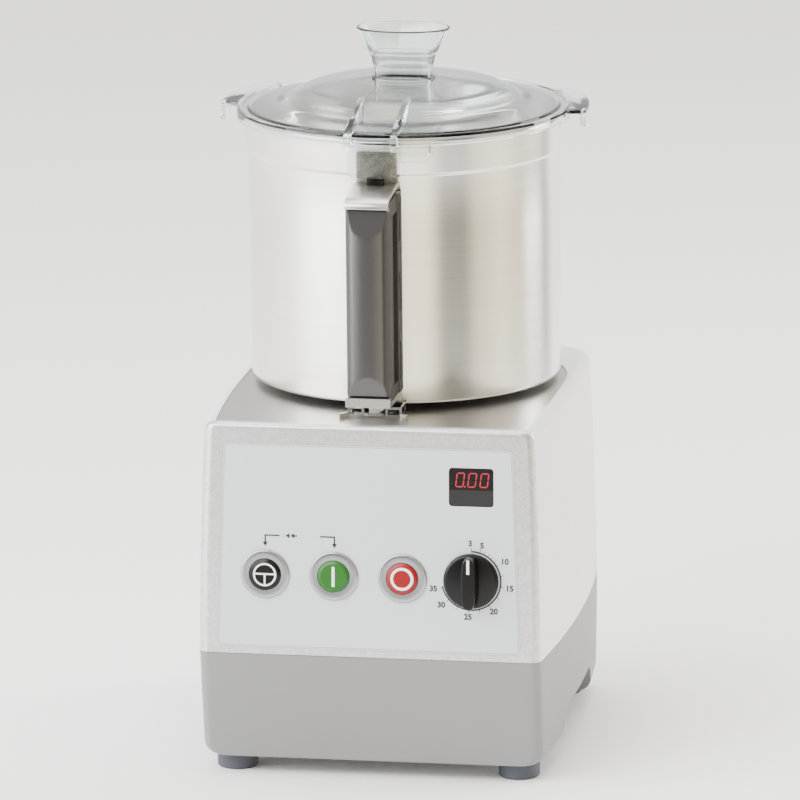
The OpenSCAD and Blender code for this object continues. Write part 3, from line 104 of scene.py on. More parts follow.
# Frames for flat forms: the panel's slope, a side view, and views from the rear and from the bowl's front
TILT_SIN, TILT_COS = math.sin(PANEL_TILT), math.cos(PANEL_TILT)
PANEL = Matrix(((1, 0, 0, 0), (0, TILT_SIN, -TILT_COS, FRONT * MM), (0, TILT_COS, TILT_SIN, SEAM * MM),
                (0, 0, 0, 1)))
ACROSS = Matrix(((0, 0, 1, 0), (1, 0, 0, 0), (0, 1, 0, 0), (0, 0, 0, 1)))
REARWARD = Matrix(((1, 0, 0, 0), (0, 0, -1, REAR * MM), (0, 1, 0, 0), (0, 0, 0, 1)))
FORWARD = Matrix(((1, 0, 0, 0), (0, 0, -1, AXIS * MM), (0, 1, 0, 0), (0, 0, 0, 1)))

FINISHES = {}
COLOUR = {"subtype": "COLOR", "size": 3, "min": 0, "max": 1}


class MixerColours(bpy.types.PropertyGroup):
    housing: bpy.props.FloatVectorProperty(
        name="Motor housing", description="Colour of the moulded motor housing",
        **COLOUR, default=(0.80, 0.805, 0.82))
    plinth: bpy.props.FloatVectorProperty(
        name="Plinth", description="Colour of the moulded plinth",
        **COLOUR, default=(0.205, 0.205, 0.208))
    overlay: bpy.props.FloatVectorProperty(
        name="Panel film", description="Colour of the printed film on the panel",
        **COLOUR, default=(0.58, 0.60, 0.63))
    grip: bpy.props.FloatVectorProperty(
        name="Grip", description="Colour of the handle's grip",
        **COLOUR, default=(0.026, 0.0235, 0.0245))
    start: bpy.props.FloatVectorProperty(
        name="Start button", description="Colour of the start button's cap",
        **COLOUR, default=(0.012, 0.105, 0.008))
    stop: bpy.props.FloatVectorProperty(
        name="Stop button", description="Colour of the stop button's cap",
        **COLOUR, default=(0.22, 0.0008, 0.0025))


class MixerSizes(bpy.types.PropertyGroup):
    number_height: bpy.props.FloatProperty(
        name="Numbers", description="Height of the numbers round the speed knob",
        unit="LENGTH", default=0.0058, min=0.003, max=0.008)
    scale_radius: bpy.props.FloatProperty(
        name="Speed scale", description="Radius of the arc round the speed knob",
        unit="LENGTH", default=0.0217, min=0.0205, max=0.024)
    line_width: bpy.props.FloatProperty(
        name="Printed lines", description="Width of the printed lines on the panel",
        unit="LENGTH", default=0.0012, min=0.0004, max=0.002)
    digit_height: bpy.props.FloatProperty(
        name="Display digits", description="Height of the display's digits",
        unit="LENGTH", default=0.0100, min=0.006, max=0.013)


def colour(name):
    return tuple(getattr(bpy.context.scene.mixer_colours, name))


def size_mm(name):
    return getattr(bpy.context.scene.mixer_sizes, name) / MM


# Finishes

class Wire:
    """A socket whose arithmetic adds Math nodes."""

    def __init__(self, graph, socket):
        self.graph = graph
        self.socket = socket

    def __add__(self, other):
        return self.graph.math("ADD", self, other)

    def __sub__(self, other):
        return self.graph.math("SUBTRACT", self, other)

    def __rsub__(self, other):
        return self.graph.math("SUBTRACT", other, self)

    def __mul__(self, other):
        return self.graph.math("MULTIPLY", self, other)

    def __pow__(self, other):
        return self.graph.math("POWER", self, other)

    def over(self, edge, soft):
        """0 below the edge, 1 above it, with a soft step."""
        return self.graph.node("ShaderNodeMapRange", {"clamp": True},
                               {"Value": self, "From Min": edge - soft, "From Max": edge + soft})


class Graph:
    """The nodes of a material or a world."""

    def __init__(self, tree):
        self.tree = tree

    def node(self, kind, settings=None, values=None, out=0):
        made = self.tree.nodes.new(kind)
        for key, value in (settings or {}).items():
            setattr(made, key, value)
        for key, value in (values or {}).items():
            if isinstance(value, Wire):
                self.tree.links.new(value.socket, made.inputs[key])
            else:
                made.inputs[key].default_value = value
        return Wire(self, made.outputs[out])

    def math(self, operation, first, second):
        return self.node("ShaderNodeMath", {"operation": operation}, {0: first, 1: second})

    def axis(self, name, place):
        return self.node("ShaderNodeSeparateXYZ", None, {0: place}, out=name)

    def tone_round(self, place, tones, fade, blend):
        """A tone by bearing, from rows of (degrees from the front to the right, brightness, warmth).

        fade says how far warmth takes green and blue down."""
        turn = self.math("ARCTAN2", self.axis("X", place), self.axis("Y", place) * -1.0)
        result = self.node("ShaderNodeValToRGB", None, {0: turn * (0.5 / math.pi) + 0.5})
        ramp = result.socket.node.color_ramp
        ramp.interpolation = blend
        while len(ramp.elements) < len(tones):
            ramp.elements.new(1.0)
        for element, (bearing, tone, warmth) in zip(ramp.elements, tones):
            element.position = (bearing + 180) / 360
            element.color = (tone, tone * (1 - warmth * fade[0]), tone * (1 - warmth * fade[1]), 1.0)
        return result


class Finish(Graph):
    """A procedural material, kept under its name in FINISHES."""

    def __init__(self, name, rough=0.5, metal=0.0, **constants):
        material = bpy.data.materials.new(name)
        material.use_nodes = True
        super().__init__(material.node_tree)
        FINISHES[name] = material
        self.shader = next(n for n in self.tree.nodes if n.type == "BSDF_PRINCIPLED")
        self.place = self.node("ShaderNodeTexCoord", out="Object")
        self.shader.inputs["Roughness"].default_value = rough
        self.shader.inputs["Metallic"].default_value = metal
        for socket, value in constants.items():
            self.shader.inputs[socket.replace("_", " ")].default_value = value

    def noise(self, scale, detail=2.0, rough=0.5, where=None):
        return self.node("ShaderNodeTexNoise", None,
                         {"Vector": where or self.place, "Scale": scale, "Detail": detail,
                          "Roughness": rough})

    def waves(self, direction, scale, distortion, detail):
        return self.node("ShaderNodeTexWave", {"bands_direction": direction},
                         {"Vector": self.place, "Scale": scale, "Distortion": distortion, "Detail": detail})

    def mix(self, factor, first, second):
        """A colour between two, each a colour or a wire."""
        first, second = (c if isinstance(c, Wire) else (*c, 1.0) for c in (first, second))
        return self.node("ShaderNodeMix", {"data_type": "RGBA"}, {0: factor, 6: first, 7: second}, 2)

    def feed(self, socket, wire):
        self.tree.links.new(wire.socket, self.shader.inputs[socket])

    def tint(self, mask, tone, low, high):
        """Base colour that runs from low to high shares of a tone with the mask."""
        self.feed("Base Color", self.mix(mask, shade(tone, low), shade(tone, high)))

    def bump(self, height, strength, distance=0.0002):
        normal = self.node("ShaderNodeBump", None,
                           {"Height": height, "Strength": strength, "Distance": distance})
        self.feed("Normal", normal)


def shade(tone, factor):
    return tuple(min(1.0, c * factor) for c in tone)


def moulded(name, tone, rough=0.42, grain=1400.0, depth=0.05, mottle=0.03, **constants):
    """Moulded plastic with a fine spark-eroded grain and faint flow clouds."""
    f = Finish(name, rough, **{"Specular_IOR_Level": 0.35, **constants})
    clouds = f.noise(14.0, 3.0)
    grains = f.noise(grain, 2.0, 0.6)
    f.tint(clouds.over(0.5, 0.3), tone, 1 - mottle, 1 + mottle)
    f.feed("Roughness", clouds * 0.08 + grains * 0.06 + (rough - 0.07))
    f.bump(grains, depth)
    return f


def handled(name, tone):
    """Grip plastic: hands have polished its front and back, and its sides stay matt."""
    f = moulded(name, tone, 0.5, 1600.0, 0.04, 0.06, Specular_IOR_Level=0.12, Coat_Roughness=0.2,
                Coat_IOR=1.6)
    facing = f.axis("X", f.node("ShaderNodeTexCoord", out="Normal"))
    f.feed("Coat Weight", 1.0 - facing * facing)


def blasted(name, tone, rough=0.36):
    """Bead-blasted aluminium: a fine mottle of light and dark specks."""
    f = Finish(name, rough, 0.8)
    specks = f.noise(520.0, 4.0, 0.65)
    patches = f.noise(170.0, 3.0, 0.6)
    f.tint((specks * 0.7 + patches * 0.3).over(0.5, 0.12), tone, 0.84, 1.12)
    f.feed("Roughness", specks * 0.14 + (rough - 0.05))
    f.bump(specks, 0.12)


def brushed(name, tone, stretch, rough, contrast, **constants):
    """Brushed sheet: fine lines along one direction, with a few deeper scratches."""
    f = Finish(name, rough, 1.0, **constants)
    where = f.node("ShaderNodeVectorMath", {"operation": "MULTIPLY"}, {0: f.place, 1: stretch})
    lines = f.noise(1.0, 3.0, 0.6, where)
    broad = f.noise(0.12, 2.0, 0.5, where)
    wear = f.noise(9.0)
    f.tint((lines * 0.65 + broad * 0.35).over(0.5, 0.2), tone, 1 - contrast, 1 + contrast * 0.6)
    f.feed("Roughness", lines * 0.10 + wear * 0.04 + (rough - 0.06))
    f.bump(lines, 0.06)


def polished(name, tone, rough=0.16):
    """Pressed and polished steel with faint wipe marks."""
    f = Finish(name, rough, 1.0)
    smears = f.noise(55.0, 3.0, 0.6)
    f.tint(smears.over(0.5, 0.3), tone, 0.94, 1.04)
    f.feed("Roughness", smears * 0.09 + (rough - 0.04))
    f.bump(f.noise(900.0), 0.03, 0.0001)


def cast(name, tone):
    """Machined casting: a rough skin with pores."""
    f = Finish(name, 0.5, 0.75)
    skin = f.noise(260.0, 4.0, 0.7)
    pores = f.noise(900.0).over(0.66, 0.05)
    f.tint(skin, tone, 0.85, 1.1)
    f.feed("Roughness", skin * 0.2 + 0.42)
    f.bump(skin - pores * 0.5, 0.25, 0.0003)


def stamped(name, tone):
    """Pressed steel with the grey, mottled skin of a hot-stamped part."""
    f = Finish(name, 0.46, 0.7)
    grain = f.noise(520.0, 4.0, 0.75)
    spots = f.noise(190.0, 3.0, 0.6)
    f.tint((grain * 0.6 + spots * 0.4).over(0.5, 0.08), tone, 0.68, 1.2)
    f.feed("Roughness", grain * 0.2 + 0.38)
    f.bump(grain, 0.3, 0.0003)


def clear(name, tone, rough=0.02):
    """Clear moulded polycarbonate, with the faint haze of many washes."""
    f = Finish(name, rough, Transmission_Weight=1.0, IOR=1.46)
    haze = f.noise(40.0, 3.0)
    f.tint(haze.over(0.5, 0.3), tone, 0.985, 1.0)
    f.feed("Roughness", haze.over(0.62, 0.2) * 0.05 + rough)
    f.bump(f.noise(700.0), 0.004, 0.0001)


def printed(name, tone, rough=0.45):
    """Screen-printed ink: slightly uneven cover."""
    f = Finish(name, rough)
    cover = f.noise(900.0, 3.0)
    f.tint(cover, tone, 0.85, 1.15)
    f.feed("Roughness", cover * 0.12 + (rough - 0.06))


def glowing(name, tone, strength):
    """Lit segment of the display."""
    f = Finish(name, 0.4, Emission_Strength=strength)
    uneven = f.noise(400.0)
    f.tint(uneven, tone, 0.5, 0.6)
    f.feed("Emission Color", f.mix(uneven, shade(tone, 0.85), tone))


def laminate(name, tone):
    """Circuit laminate: tracks show as lighter lines under the lacquer."""
    f = Finish(name, 0.35)
    along = f.waves("X", 60.0, 6.0, 2.0)
    f.tint(along.over(0.8, 0.06), tone, 1.0, 1.9)
    f.bump(along, 0.05)


def wound(name, tone):
    """Lacquered copper winding: wires lie side by side."""
    f = Finish(name, 0.35, 0.9)
    wires = f.waves("Z", 260.0, 0.6, 1.0)
    f.tint(wires, tone, 0.6, 1.15)
    f.bump(wires, 0.4, 0.0004)


def make_finishes():
    moulded("housing_plastic", colour("housing"), 0.38)
    moulded("plinth_plastic", colour("plinth"), 0.45, depth=0.08)
    moulded("foot_rubber", (0.062, 0.066, 0.083), 0.62, 900.0, 0.12, 0.06)
    moulded("overlay_film", colour("overlay"), 0.34, 2400.0, 0.02, 0.012)
    moulded("black_plastic", (0.004, 0.0038, 0.0042), 0.24, 1800.0, 0.05, 0.1, Specular_IOR_Level=0.22)
    moulded("white_plastic", (0.82, 0.82, 0.81), 0.35)
    moulded("ring_plastic", (0.34, 0.345, 0.36), 0.22, 1500.0, 0.03, metal=0.9)
    moulded("green_plastic", colour("start"), 0.32)
    moulded("red_plastic", colour("stop"), 0.32)
    moulded("seal_rubber", (0.75, 0.75, 0.73), 0.5)
    moulded("smoked_window", (0.006, 0.005, 0.005), 0.22, 2600.0, 0.01, 0.1)
    moulded("smoked_band", (0.016, 0.015, 0.016), 0.3, 2600.0, 0.01, 0.05)
    handled("grip_plastic", colour("grip"))
    clear("clear_plastic", (0.885, 0.92, 0.915))
    blasted("satin_metal", (0.62, 0.62, 0.625))
    brushed("brushed_sheet", (0.52, 0.505, 0.48), (14.0, 2200.0, 40.0), 0.34, 0.10)
    brushed("bowl_steel", (0.80, 0.79, 0.77), (14.0, 14.0, 1500.0), 0.20, 0.06,
            Anisotropic=0.6, Anisotropic_Rotation=0.25)
    brushed("strap_steel", (0.50, 0.485, 0.46), (16.0, 520.0, 520.0), 0.30, 0.05)
    polished("polished_steel", (0.66, 0.66, 0.65))
    polished("clip_steel", (0.40, 0.39, 0.375), 0.14)
    stamped("stamped_steel", (0.20, 0.185, 0.16))
    cast("cast_metal", (0.27, 0.275, 0.29))
    laminate("board_laminate", (0.012, 0.10, 0.045))
    wound("winding_copper", (0.62, 0.24, 0.08))
    printed("panel_ink", (0.008, 0.007, 0.014))
    printed("white_ink", (0.86, 0.86, 0.85))
    printed("outline_ink", (0.20, 0.205, 0.215))
    glowing("lit_segment", (0.5, 0.001, 0.025), 0.38)


def dress(node, finish):
    """Gives a carried-over CAD node its finish."""
    mesh = frame["nodes"][node].data
    mesh.materials.clear()
    mesh.materials.append(FINISHES[finish])


# Forms

class Form:
    """Gathers the vertices and faces of one piece, in millimetres, and makes its object."""

    def __init__(self):
        self.points = []
        self.faces = []

    def add(self, points, faces):
        base = len(self.points)
        self.points += [tuple(p) for p in points]
        self.faces += [[base + i for i in face] for face in faces]
        return self

    def prism(self, outline, low, high):
        """A plate between two heights; the outline runs counter-clockwise."""
        return self.rings([[(x, y, z) for x, y in outline] for z in (low, high)])

    def rings(self, rings, caps=True, closed=False):
        """A skin through a stack of like rings; closed joins the last ring to the first."""
        n = len(rings[0])
        points = [p for ring in rings for p in ring]
        last = len(rings) if closed else len(rings) - 1
        faces = []
        for k in range(last):
            a, b = k * n, (k + 1) % len(rings) * n
            faces += [[a + i, a + (i + 1) % n, b + (i + 1) % n, b + i] for i in range(n)]
        if caps and not closed:
            faces.append(list(range(n))[::-1])
            faces.append([(len(rings) - 1) * n + i for i in range(n)])
        return self.add(points, faces)

    def lathe(self, profile, centre, steps, closed=True):
        """Turns a profile of (radius, height) about an upright axis."""
        turns = [2 * math.pi * i / steps for i in range(steps)]
        rings = [[(centre[0] + r * math.cos(a), centre[1] + r * math.sin(a), z) for a in turns]
                 for r, z in profile]
        return self.rings(rings, caps=False, closed=closed)

    def mesh(self, place=None):
        made = bpy.data.meshes.new("draft")
        made.from_pydata([Vector(p) * MM for p in self.points], [], self.faces)
        work = bmesh.new()
        work.from_mesh(made)
        bmesh.ops.remove_doubles(work, verts=work.verts, dist=2e-6)
        bmesh.ops.dissolve_degenerate(work, edges=work.edges, dist=1e-7)
        bmesh.ops.recalc_face_normals(work, faces=work.faces)
        work.to_mesh(made)
        work.free()
        if place is not None:
            made.transform(place)
        made.update()
        return made

    def piece(self, name, body, finish, slot=None, place=None, sharp=30.0, replaces=(), cuts=(), bevel=0.0):
        """The object, riding on its body, after its cuts and its bevel in millimetres.

        The slot argument is not used."""
        mesh = self.mesh(place)
        if cuts:
            mesh = carved(mesh, cuts)
        if bevel:
            mesh = eased(mesh, bevel)
        mesh.name = name
        mesh.shade_smooth()
        mesh.set_sharp_from_angle(angle=math.radians(sharp))
        mesh.materials.clear()
        mesh.materials.append(FINISHES[finish])
        obj = placed(name, mesh)
        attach(obj, body)
        if replaces:
            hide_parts(*replaces)
        return obj


def placed(name, data):
    """A new object in the scene."""
    made = bpy.data.objects.new(name, data)
    bpy.context.scene.collection.objects.link(made)
    return made


def mesh_of(holder):
    """The evaluated mesh of an object, which is then removed."""
    bpy.context.view_layer.update()
    made = bpy.data.meshes.new_from_object(holder.evaluated_get(bpy.context.evaluated_depsgraph_get()))
    bpy.data.objects.remove(holder)
    return made


def evaluated(mesh, modifiers):
    """The mesh after modifiers, each a (kind, settings) pair."""
    holder = placed("draft", mesh)
    for kind, settings in modifiers:
        modifier = holder.modifiers.new(kind, kind)
        for key, value in settings.items():
            setattr(modifier, key, value)
    return mesh_of(holder)


def carved(mesh, cuts):
    """The mesh with other meshes taken out; a (mesh, operation) pair is joined or kept instead."""
    holders = []
    steps = []
    for cut in cuts:
        cutter, operation = cut if isinstance(cut, tuple) else (cut, "DIFFERENCE")
        holders.append(placed("cutter", cutter))
        steps.append(("BOOLEAN", {"operation": operation, "solver": "EXACT", "object": holders[-1]}))
    made = evaluated(mesh, steps)
    for holder in holders:
        bpy.data.objects.remove(holder)
    return made


def eased(mesh, width):
    """The mesh with its sharp edges rounded, by a width in millimetres."""
    return evaluated(mesh, [("BEVEL", {"width": width * MM, "segments": 2, "limit_method": "ANGLE",
                                       "angle_limit": math.radians(35.0), "harden_normals": False,
                                       "use_clamp_overlap": True})])


def rectangle(x0, x1, y0, y1):
    return [(x0, y0), (x1, y0), (x1, y1), (x0, y1)]


def box_form(low, high):
    (x0, y0, z0), (x1, y1, z1) = low, high
    return Form().prism(rectangle(x0, x1, y0, y1), z0, z1)


def rod_box(half_w, half_d, low, high):
    """The mesh of a box about the safety rod's line."""
    return box_form((-half_w, AXIS - ROD_AT - half_d, low), (half_w, AXIS - ROD_AT + half_d, high)).mesh()


def round_bar(cx, cy, r, low, high, steps=64):
    return Form().prism(arc(cx, cy, r, 0, 360 - 360 / steps, steps - 1), low, high)


def arc(cx, cy, r, start, end, steps=24):
    """Points on an arc, degrees counter-clockwise from +X."""
    turns = [math.radians(start + (end - start) * i / steps) for i in range(steps + 1)]
    return [(cx + r * math.cos(a), cy + r * math.sin(a)) for a in turns]


def stroke(x0, y0, x1, y1, width):
    """The outline of a straight bar."""
    length = math.hypot(x1 - x0, y1 - y0)
    nx, ny = (y1 - y0) / length * width / 2, -(x1 - x0) / length * width / 2
    return [(x0 + nx, y0 + ny), (x1 + nx, y1 + ny), (x1 - nx, y1 - ny), (x0 - nx, y0 - ny)]


def bow(cx, cy, r_out, r_in, start, end, steps):
    """The outlines of a curved band, cut into short convex strips."""
    outer, inner = arc(cx, cy, r_out, start, end, steps), arc(cx, cy, r_in, start, end, steps)
    strips = [[inner[i], outer[i], outer[i + 1], inner[i + 1]] for i in range(steps)]
    return strips if end > start else [s[::-1] for s in strips]


def rounded(corners, r, steps=8):
    """A loop with its corners rounded."""
    loop = []
    n = len(corners)
    for k in range(n):
        corner = Vector(corners[k])
        before = (Vector(corners[k - 1]) - corner).normalized()
        after = (Vector(corners[(k + 1) % n]) - corner).normalized()
        half = before.angle(after) / 2
        centre = corner + (before + after).normalized() * r / math.sin(half)
        start = corner + before * r / math.tan(half) - centre
        end = corner + after * r / math.tan(half) - centre
        turn = math.pi - 2 * half
        for i in range(steps + 1):
            t = i / steps
            reach = (start * math.sin(turn * (1 - t)) + end * math.sin(turn * t)) / math.sin(turn)
            loop.append(tuple(centre + reach))
    return loop


def oval(centre, half_w, half_d, powers, z, steps=96):
    """A loop between an ellipse, at powers of 1, and a box, at powers of 0."""
    loop = []
    for i in range(steps):
        c, d = math.cos(2 * math.pi * i / steps), math.sin(2 * math.pi * i / steps)
        loop.append((centre[0] + half_w * math.copysign(abs(c) ** powers[0], c),
                     centre[1] + half_d * math.copysign(abs(d) ** powers[1], d), z))
    return loop


def sector(r_out, r_in, start, end, low, high, steps):
    """A piece of a flat ring about the bowl's axis; angles run from +X."""
    outline = arc(0.0, AXIS, r_out, start, end, steps) + arc(0.0, AXIS, r_in, end, start, steps)
    return Form().prism(outline, low, high)


def band(r_out, r_in, x0, x1, low, high, steps=24):
    """A piece of a ring in front of the bowl, between two distances from the middle plane."""
    xs = [x0 + (x1 - x0) * i / steps for i in range(steps + 1)]
    outline = [(x, AXIS - math.sqrt(r_out * r_out - x * x)) for x in xs]
    outline += [(x, AXIS - math.sqrt(r_in * r_in - x * x)) for x in reversed(xs)]
    return Form().prism(outline, low, high)


def curve_through(points, steps=8):
    """A smooth curve through points, each a pair."""
    out = []
    ends = [points[0]] + points + [points[-1]]
    for i in range(1, len(ends) - 2):
        p0, p1, p2, p3 = ends[i - 1:i + 3]
        for k in range(steps):
            t = k / steps
            out.append(tuple(0.5 * (2 * b + (c - a) * t + (2 * a - 5 * b + 4 * c - d) * t * t
                                    + (3 * b - a - 3 * c + d) * t ** 3)
                             for a, b, c, d in zip(p0, p1, p2, p3)))
    return out + [points[-1]]


def printed_piece(name, outlines, finish, body="base", low=PRINT_FACE, thick=PRINT_T, slot="overlay_film"):
    """Flat prints on the panel, at an outward depth."""
    form = Form()
    for outline in outlines:
        form.prism(outline, low, low + thick)
    return form.piece(name, body, finish, slot, PANEL)


def words(name, marks, height, finish):
    """Plain numbers on the panel: marks holds (text, x, v)."""
    form = Form()
    for text, x, v in marks:
        curve = bpy.data.curves.new(name, "FONT")
        curve.body = text
        curve.size = height
        curve.align_x = "CENTER"
        curve.align_y = "CENTER"
        curve.extrude = PRINT_T / 2
        curve.offset = height * 0.045
        mesh = mesh_of(placed(name + "_draft", curve))
        form.add([(p.co.x + x, p.co.y + v, p.co.z + PRINT_FACE + PRINT_T / 2) for p in mesh.vertices],
                 [list(p.vertices) for p in mesh.polygons])
        bpy.data.meshes.remove(mesh)
    return form.piece(name, "base", finish, "overlay_film", PANEL)


# The base's outer form

TOP_DEPTHS = (14, 12, 10.2, 8.6, 7, 6, 5, 4, 3.2, 2.5, 1.9, 1.35, 0.9, 0.5, 0.2, 0.05, 0)
LOW_DEPTHS = (0, 0.05, 0.2, 0.5, 1.0, 1.7, 2.6, 3.7, 5.0, 6.5, 8.2, 10)


def rounding(depth, r):
    """How far a rounded edge draws in at a depth below its top."""
    if depth >= r or r <= 0:
        return 0.0
    rest = r - max(depth, 0.0)
    return r - math.sqrt(max(0.0, r * r - rest * rest))


def side_draw(z):
    return abs(z - SEAM) * math.tan(SIDE_LEAN) + (z - SEAM) ** 2 / (2 * CROWN_R)


def front_draw(z):
    return (z - SEAM) * math.tan(PANEL_TILT) if z > SEAM else (SEAM - z) * math.tan(PLINTH_TILT)


def side_at(z, y):
    """The side's distance from the middle plane."""
    return HALF_WIDTH - side_draw(z) - BULGE_R + math.sqrt(BULGE_R ** 2 - (y - MIDDLE) ** 2)


def base_loop(z, inset=0.0):
    """The base's outline at a height, drawn in by inset."""
    up = z > SEAM
    edge = BASE_TOP - inset - z if up else z - FOOT_H - inset
    w = HALF_WIDTH - inset - side_draw(z) - rounding(edge, (SIDE_TOP_R if up else LOW_EDGE_R) - inset)
    yf = FRONT + inset + front_draw(z) + (rounding(edge, FRONT_TOP_R - inset) if up else 0.0) - MIDDLE
    yr = REAR - inset - rounding(edge, (REAR_TOP_R if up else LOW_EDGE_R) - inset) - MIDDLE
    rf, rr = max(FRONT_EDGE_R - inset, 1.0), REAR_CORNER_R - inset
    cx, reach_f, reach_r = w - BULGE_R, BULGE_R - rf, BULGE_R - rr
    turn_f, turn_r = math.asin((yf + rf) / reach_f), math.asin((yr - rr) / reach_r)
    deg_f, deg_r = math.degrees(turn_f), math.degrees(turn_r)
    half = arc(cx + reach_f * math.cos(turn_f), yf + rf, rf, -90, deg_f, 12)
    half += arc(cx, 0.0, BULGE_R, deg_f, deg_r, 24)[1:-1]
    half += arc(cx + reach_r * math.cos(turn_r), yr - rr, rr, deg_r, 90, 16)
    loop = [(x, y + MIDDLE) for x, y in half]
    return [(x, y, z) for x, y in loop + [(-x, y) for x, y in reversed(loop)]]


def upper_form():
    straight = BASE_TOP - TOP_DEPTHS[0] - SEAM
    heights = [SEAM + SEAM_GAP] + [SEAM + share * straight for share in (0.2, 0.4, 0.6, 0.8)]
    heights += [BASE_TOP - depth for depth in TOP_DEPTHS]
    return Form().rings([base_loop(z) for z in heights])


def panel_slab(back):
    """A slab that lies along the front panel, from an outward depth to well in front of it."""
    return box_form((-PAST, -PAST, back), (PAST, PAST, PAST)).mesh(PANEL)


def deck_loop():
    """The deck's recess: straight before the bowl and round behind it."""
    front = FRONT + front_draw(DECK_Z) + BEZEL_T + 0.4
    ys = [front + (AXIS - front) * i / 24 for i in range(25)]
    side = [(side_at(DECK_Z, y) - DECK_MARGIN, y) for y in ys]
    rear = arc(0.0, AXIS, side_at(DECK_Z, AXIS) - DECK_MARGIN, 0, 180, 96)[1:-1]
    return side + rear + [(-x, y) for x, y in reversed(side)]


def film_corners(grow):
    low, high = FILM_LOW_HALF + grow, FILM_HIGH_HALF + grow
    return [(-low, FILM_LOW_V - grow), (low, FILM_LOW_V - grow), (high, FILM_HIGH_V + grow),
            (-high, FILM_HIGH_V + grow)]


# Operators

class MIXER_OT_base(bpy.types.Operator):
    """Plinth, motor housing, feet and deck"""
    bl_idname = "mixer.base"
    bl_label = "Base"

    def execute(self, context):
        for item in frame["record"]["subparts"]:
            dress(item["node"], item["material_slot"])
        self.housing()
        self.bezel()
        self.plinth()
        return {"FINISHED"}

    def housing(self):
        """The upper skin, hollow, with the deck's recess, the vent and the openings for seat and rod."""
        sections = ((SEAM + 1, SEAM - 1), (180.0, 180.0), (254.0, 254.0), (258.0, 261.1))
        inner = Form().rings([[(x, y, z) for x, y, _ in base_loop(at, WALL_T)] for at, z in sections])
        vent = rounded(rectangle(VENT_X - VENT_HALF_W, VENT_X + VENT_HALF_W, VENT_Z - VENT_HALF_H,
                                 VENT_Z + VENT_HALF_H), VENT_R)
        opening = [(VENT_X + (x - VENT_X) * 0.86, VENT_Z + (z - VENT_Z) * 0.82) for x, z in vent]
        spigot_r, slot_reach = 19.8, 4.0
        cuts = [inner.mesh(), panel_slab(-BEZEL_T - SEAM_GAP),
                Form().prism(deck_loop(), DECK_Z - DECK_T, PAST).mesh(),
                Form().prism(vent, -1.0, 1.5).mesh(REARWARD),
                Form().prism(opening, -1.0, 9.0).mesh(REARWARD),
                round_bar(0.0, AXIS, spigot_r, ROOF_LOW, ROOF_HIGH).mesh(),
                rod_box(DECK_SLOT_HALF, slot_reach, ROOF_LOW, ROOF_HIGH)]
        upper_form().piece("housing_skin", "base", "housing_plastic", cuts=cuts,
                           replaces=("motor_housing",))

    def bezel(self):
        """The front plate, with a bed for the film, a window and four holes."""
        film_gap, film_r, film_depth = 0.3, 4.2, 0.5
        window_low, window_high, button_r, knob_r = (60.0, 114.7), (92.3, 143.5), 15.0, 5.1
        window = box_form((*window_low, -5.5), (*window_high, 1))
        cuts = [(panel_slab(-BEZEL_T), "INTERSECT"),
                Form().prism(rounded(film_corners(film_gap), film_r), -film_depth, 1.0).mesh(PANEL),
                window.mesh(PANEL)]
        for x, r in zip(CONTROL_XS, (button_r, button_r, button_r, knob_r)):
            cuts.append(round_bar(x, CONTROL_V, r, -7, 1).mesh(PANEL))
        upper_form().piece("bezel_plate", "base", "satin_metal", cuts=cuts,
                           replaces=("front_bezel",))

    def plinth(self):
        """The lower skin, with an arch through both sides and the mains lead's pocket."""
        heights = [FOOT_H + depth for depth in LOW_DEPTHS] + [40.0, 60.0, 80.0, SEAM - SEAM_GAP]
        arch_low, arch_high, top, r = MIDDLE - 63, MIDDLE + 75, 37.0, 22.0
        side = [(arch_low, -5), (arch_high, -5)] + arc(arch_high - r, top - r, r, 0, 90, 16)
        side += arc(arch_low + r, top - r, r, 90, 180, 16)
        ceiling_half, pocket_half, pocket_depth, lead_r = 105.6, 22.0, 18.0, 9.1
        pocket = box_form((LEAD_X - pocket_half, REAR - pocket_depth, LEAD_Z - 15),
                          (LEAD_X + pocket_half, REAR + 5, LEAD_Z + 15))
        cuts = [Form().prism(side, -PAST, PAST).mesh(ACROSS),
                box_form((-ceiling_half, arch_low + r, 30), (ceiling_half, arch_high - r, 42)).mesh(),
                pocket.mesh(), round_bar(LEAD_X, LEAD_Z, lead_r, 0, 40).mesh(REARWARD)]
        Form().rings([base_loop(z) for z in heights]).piece(
            "plinth_skin", "base", "plinth_plastic", cuts=cuts, replaces=("plinth",))


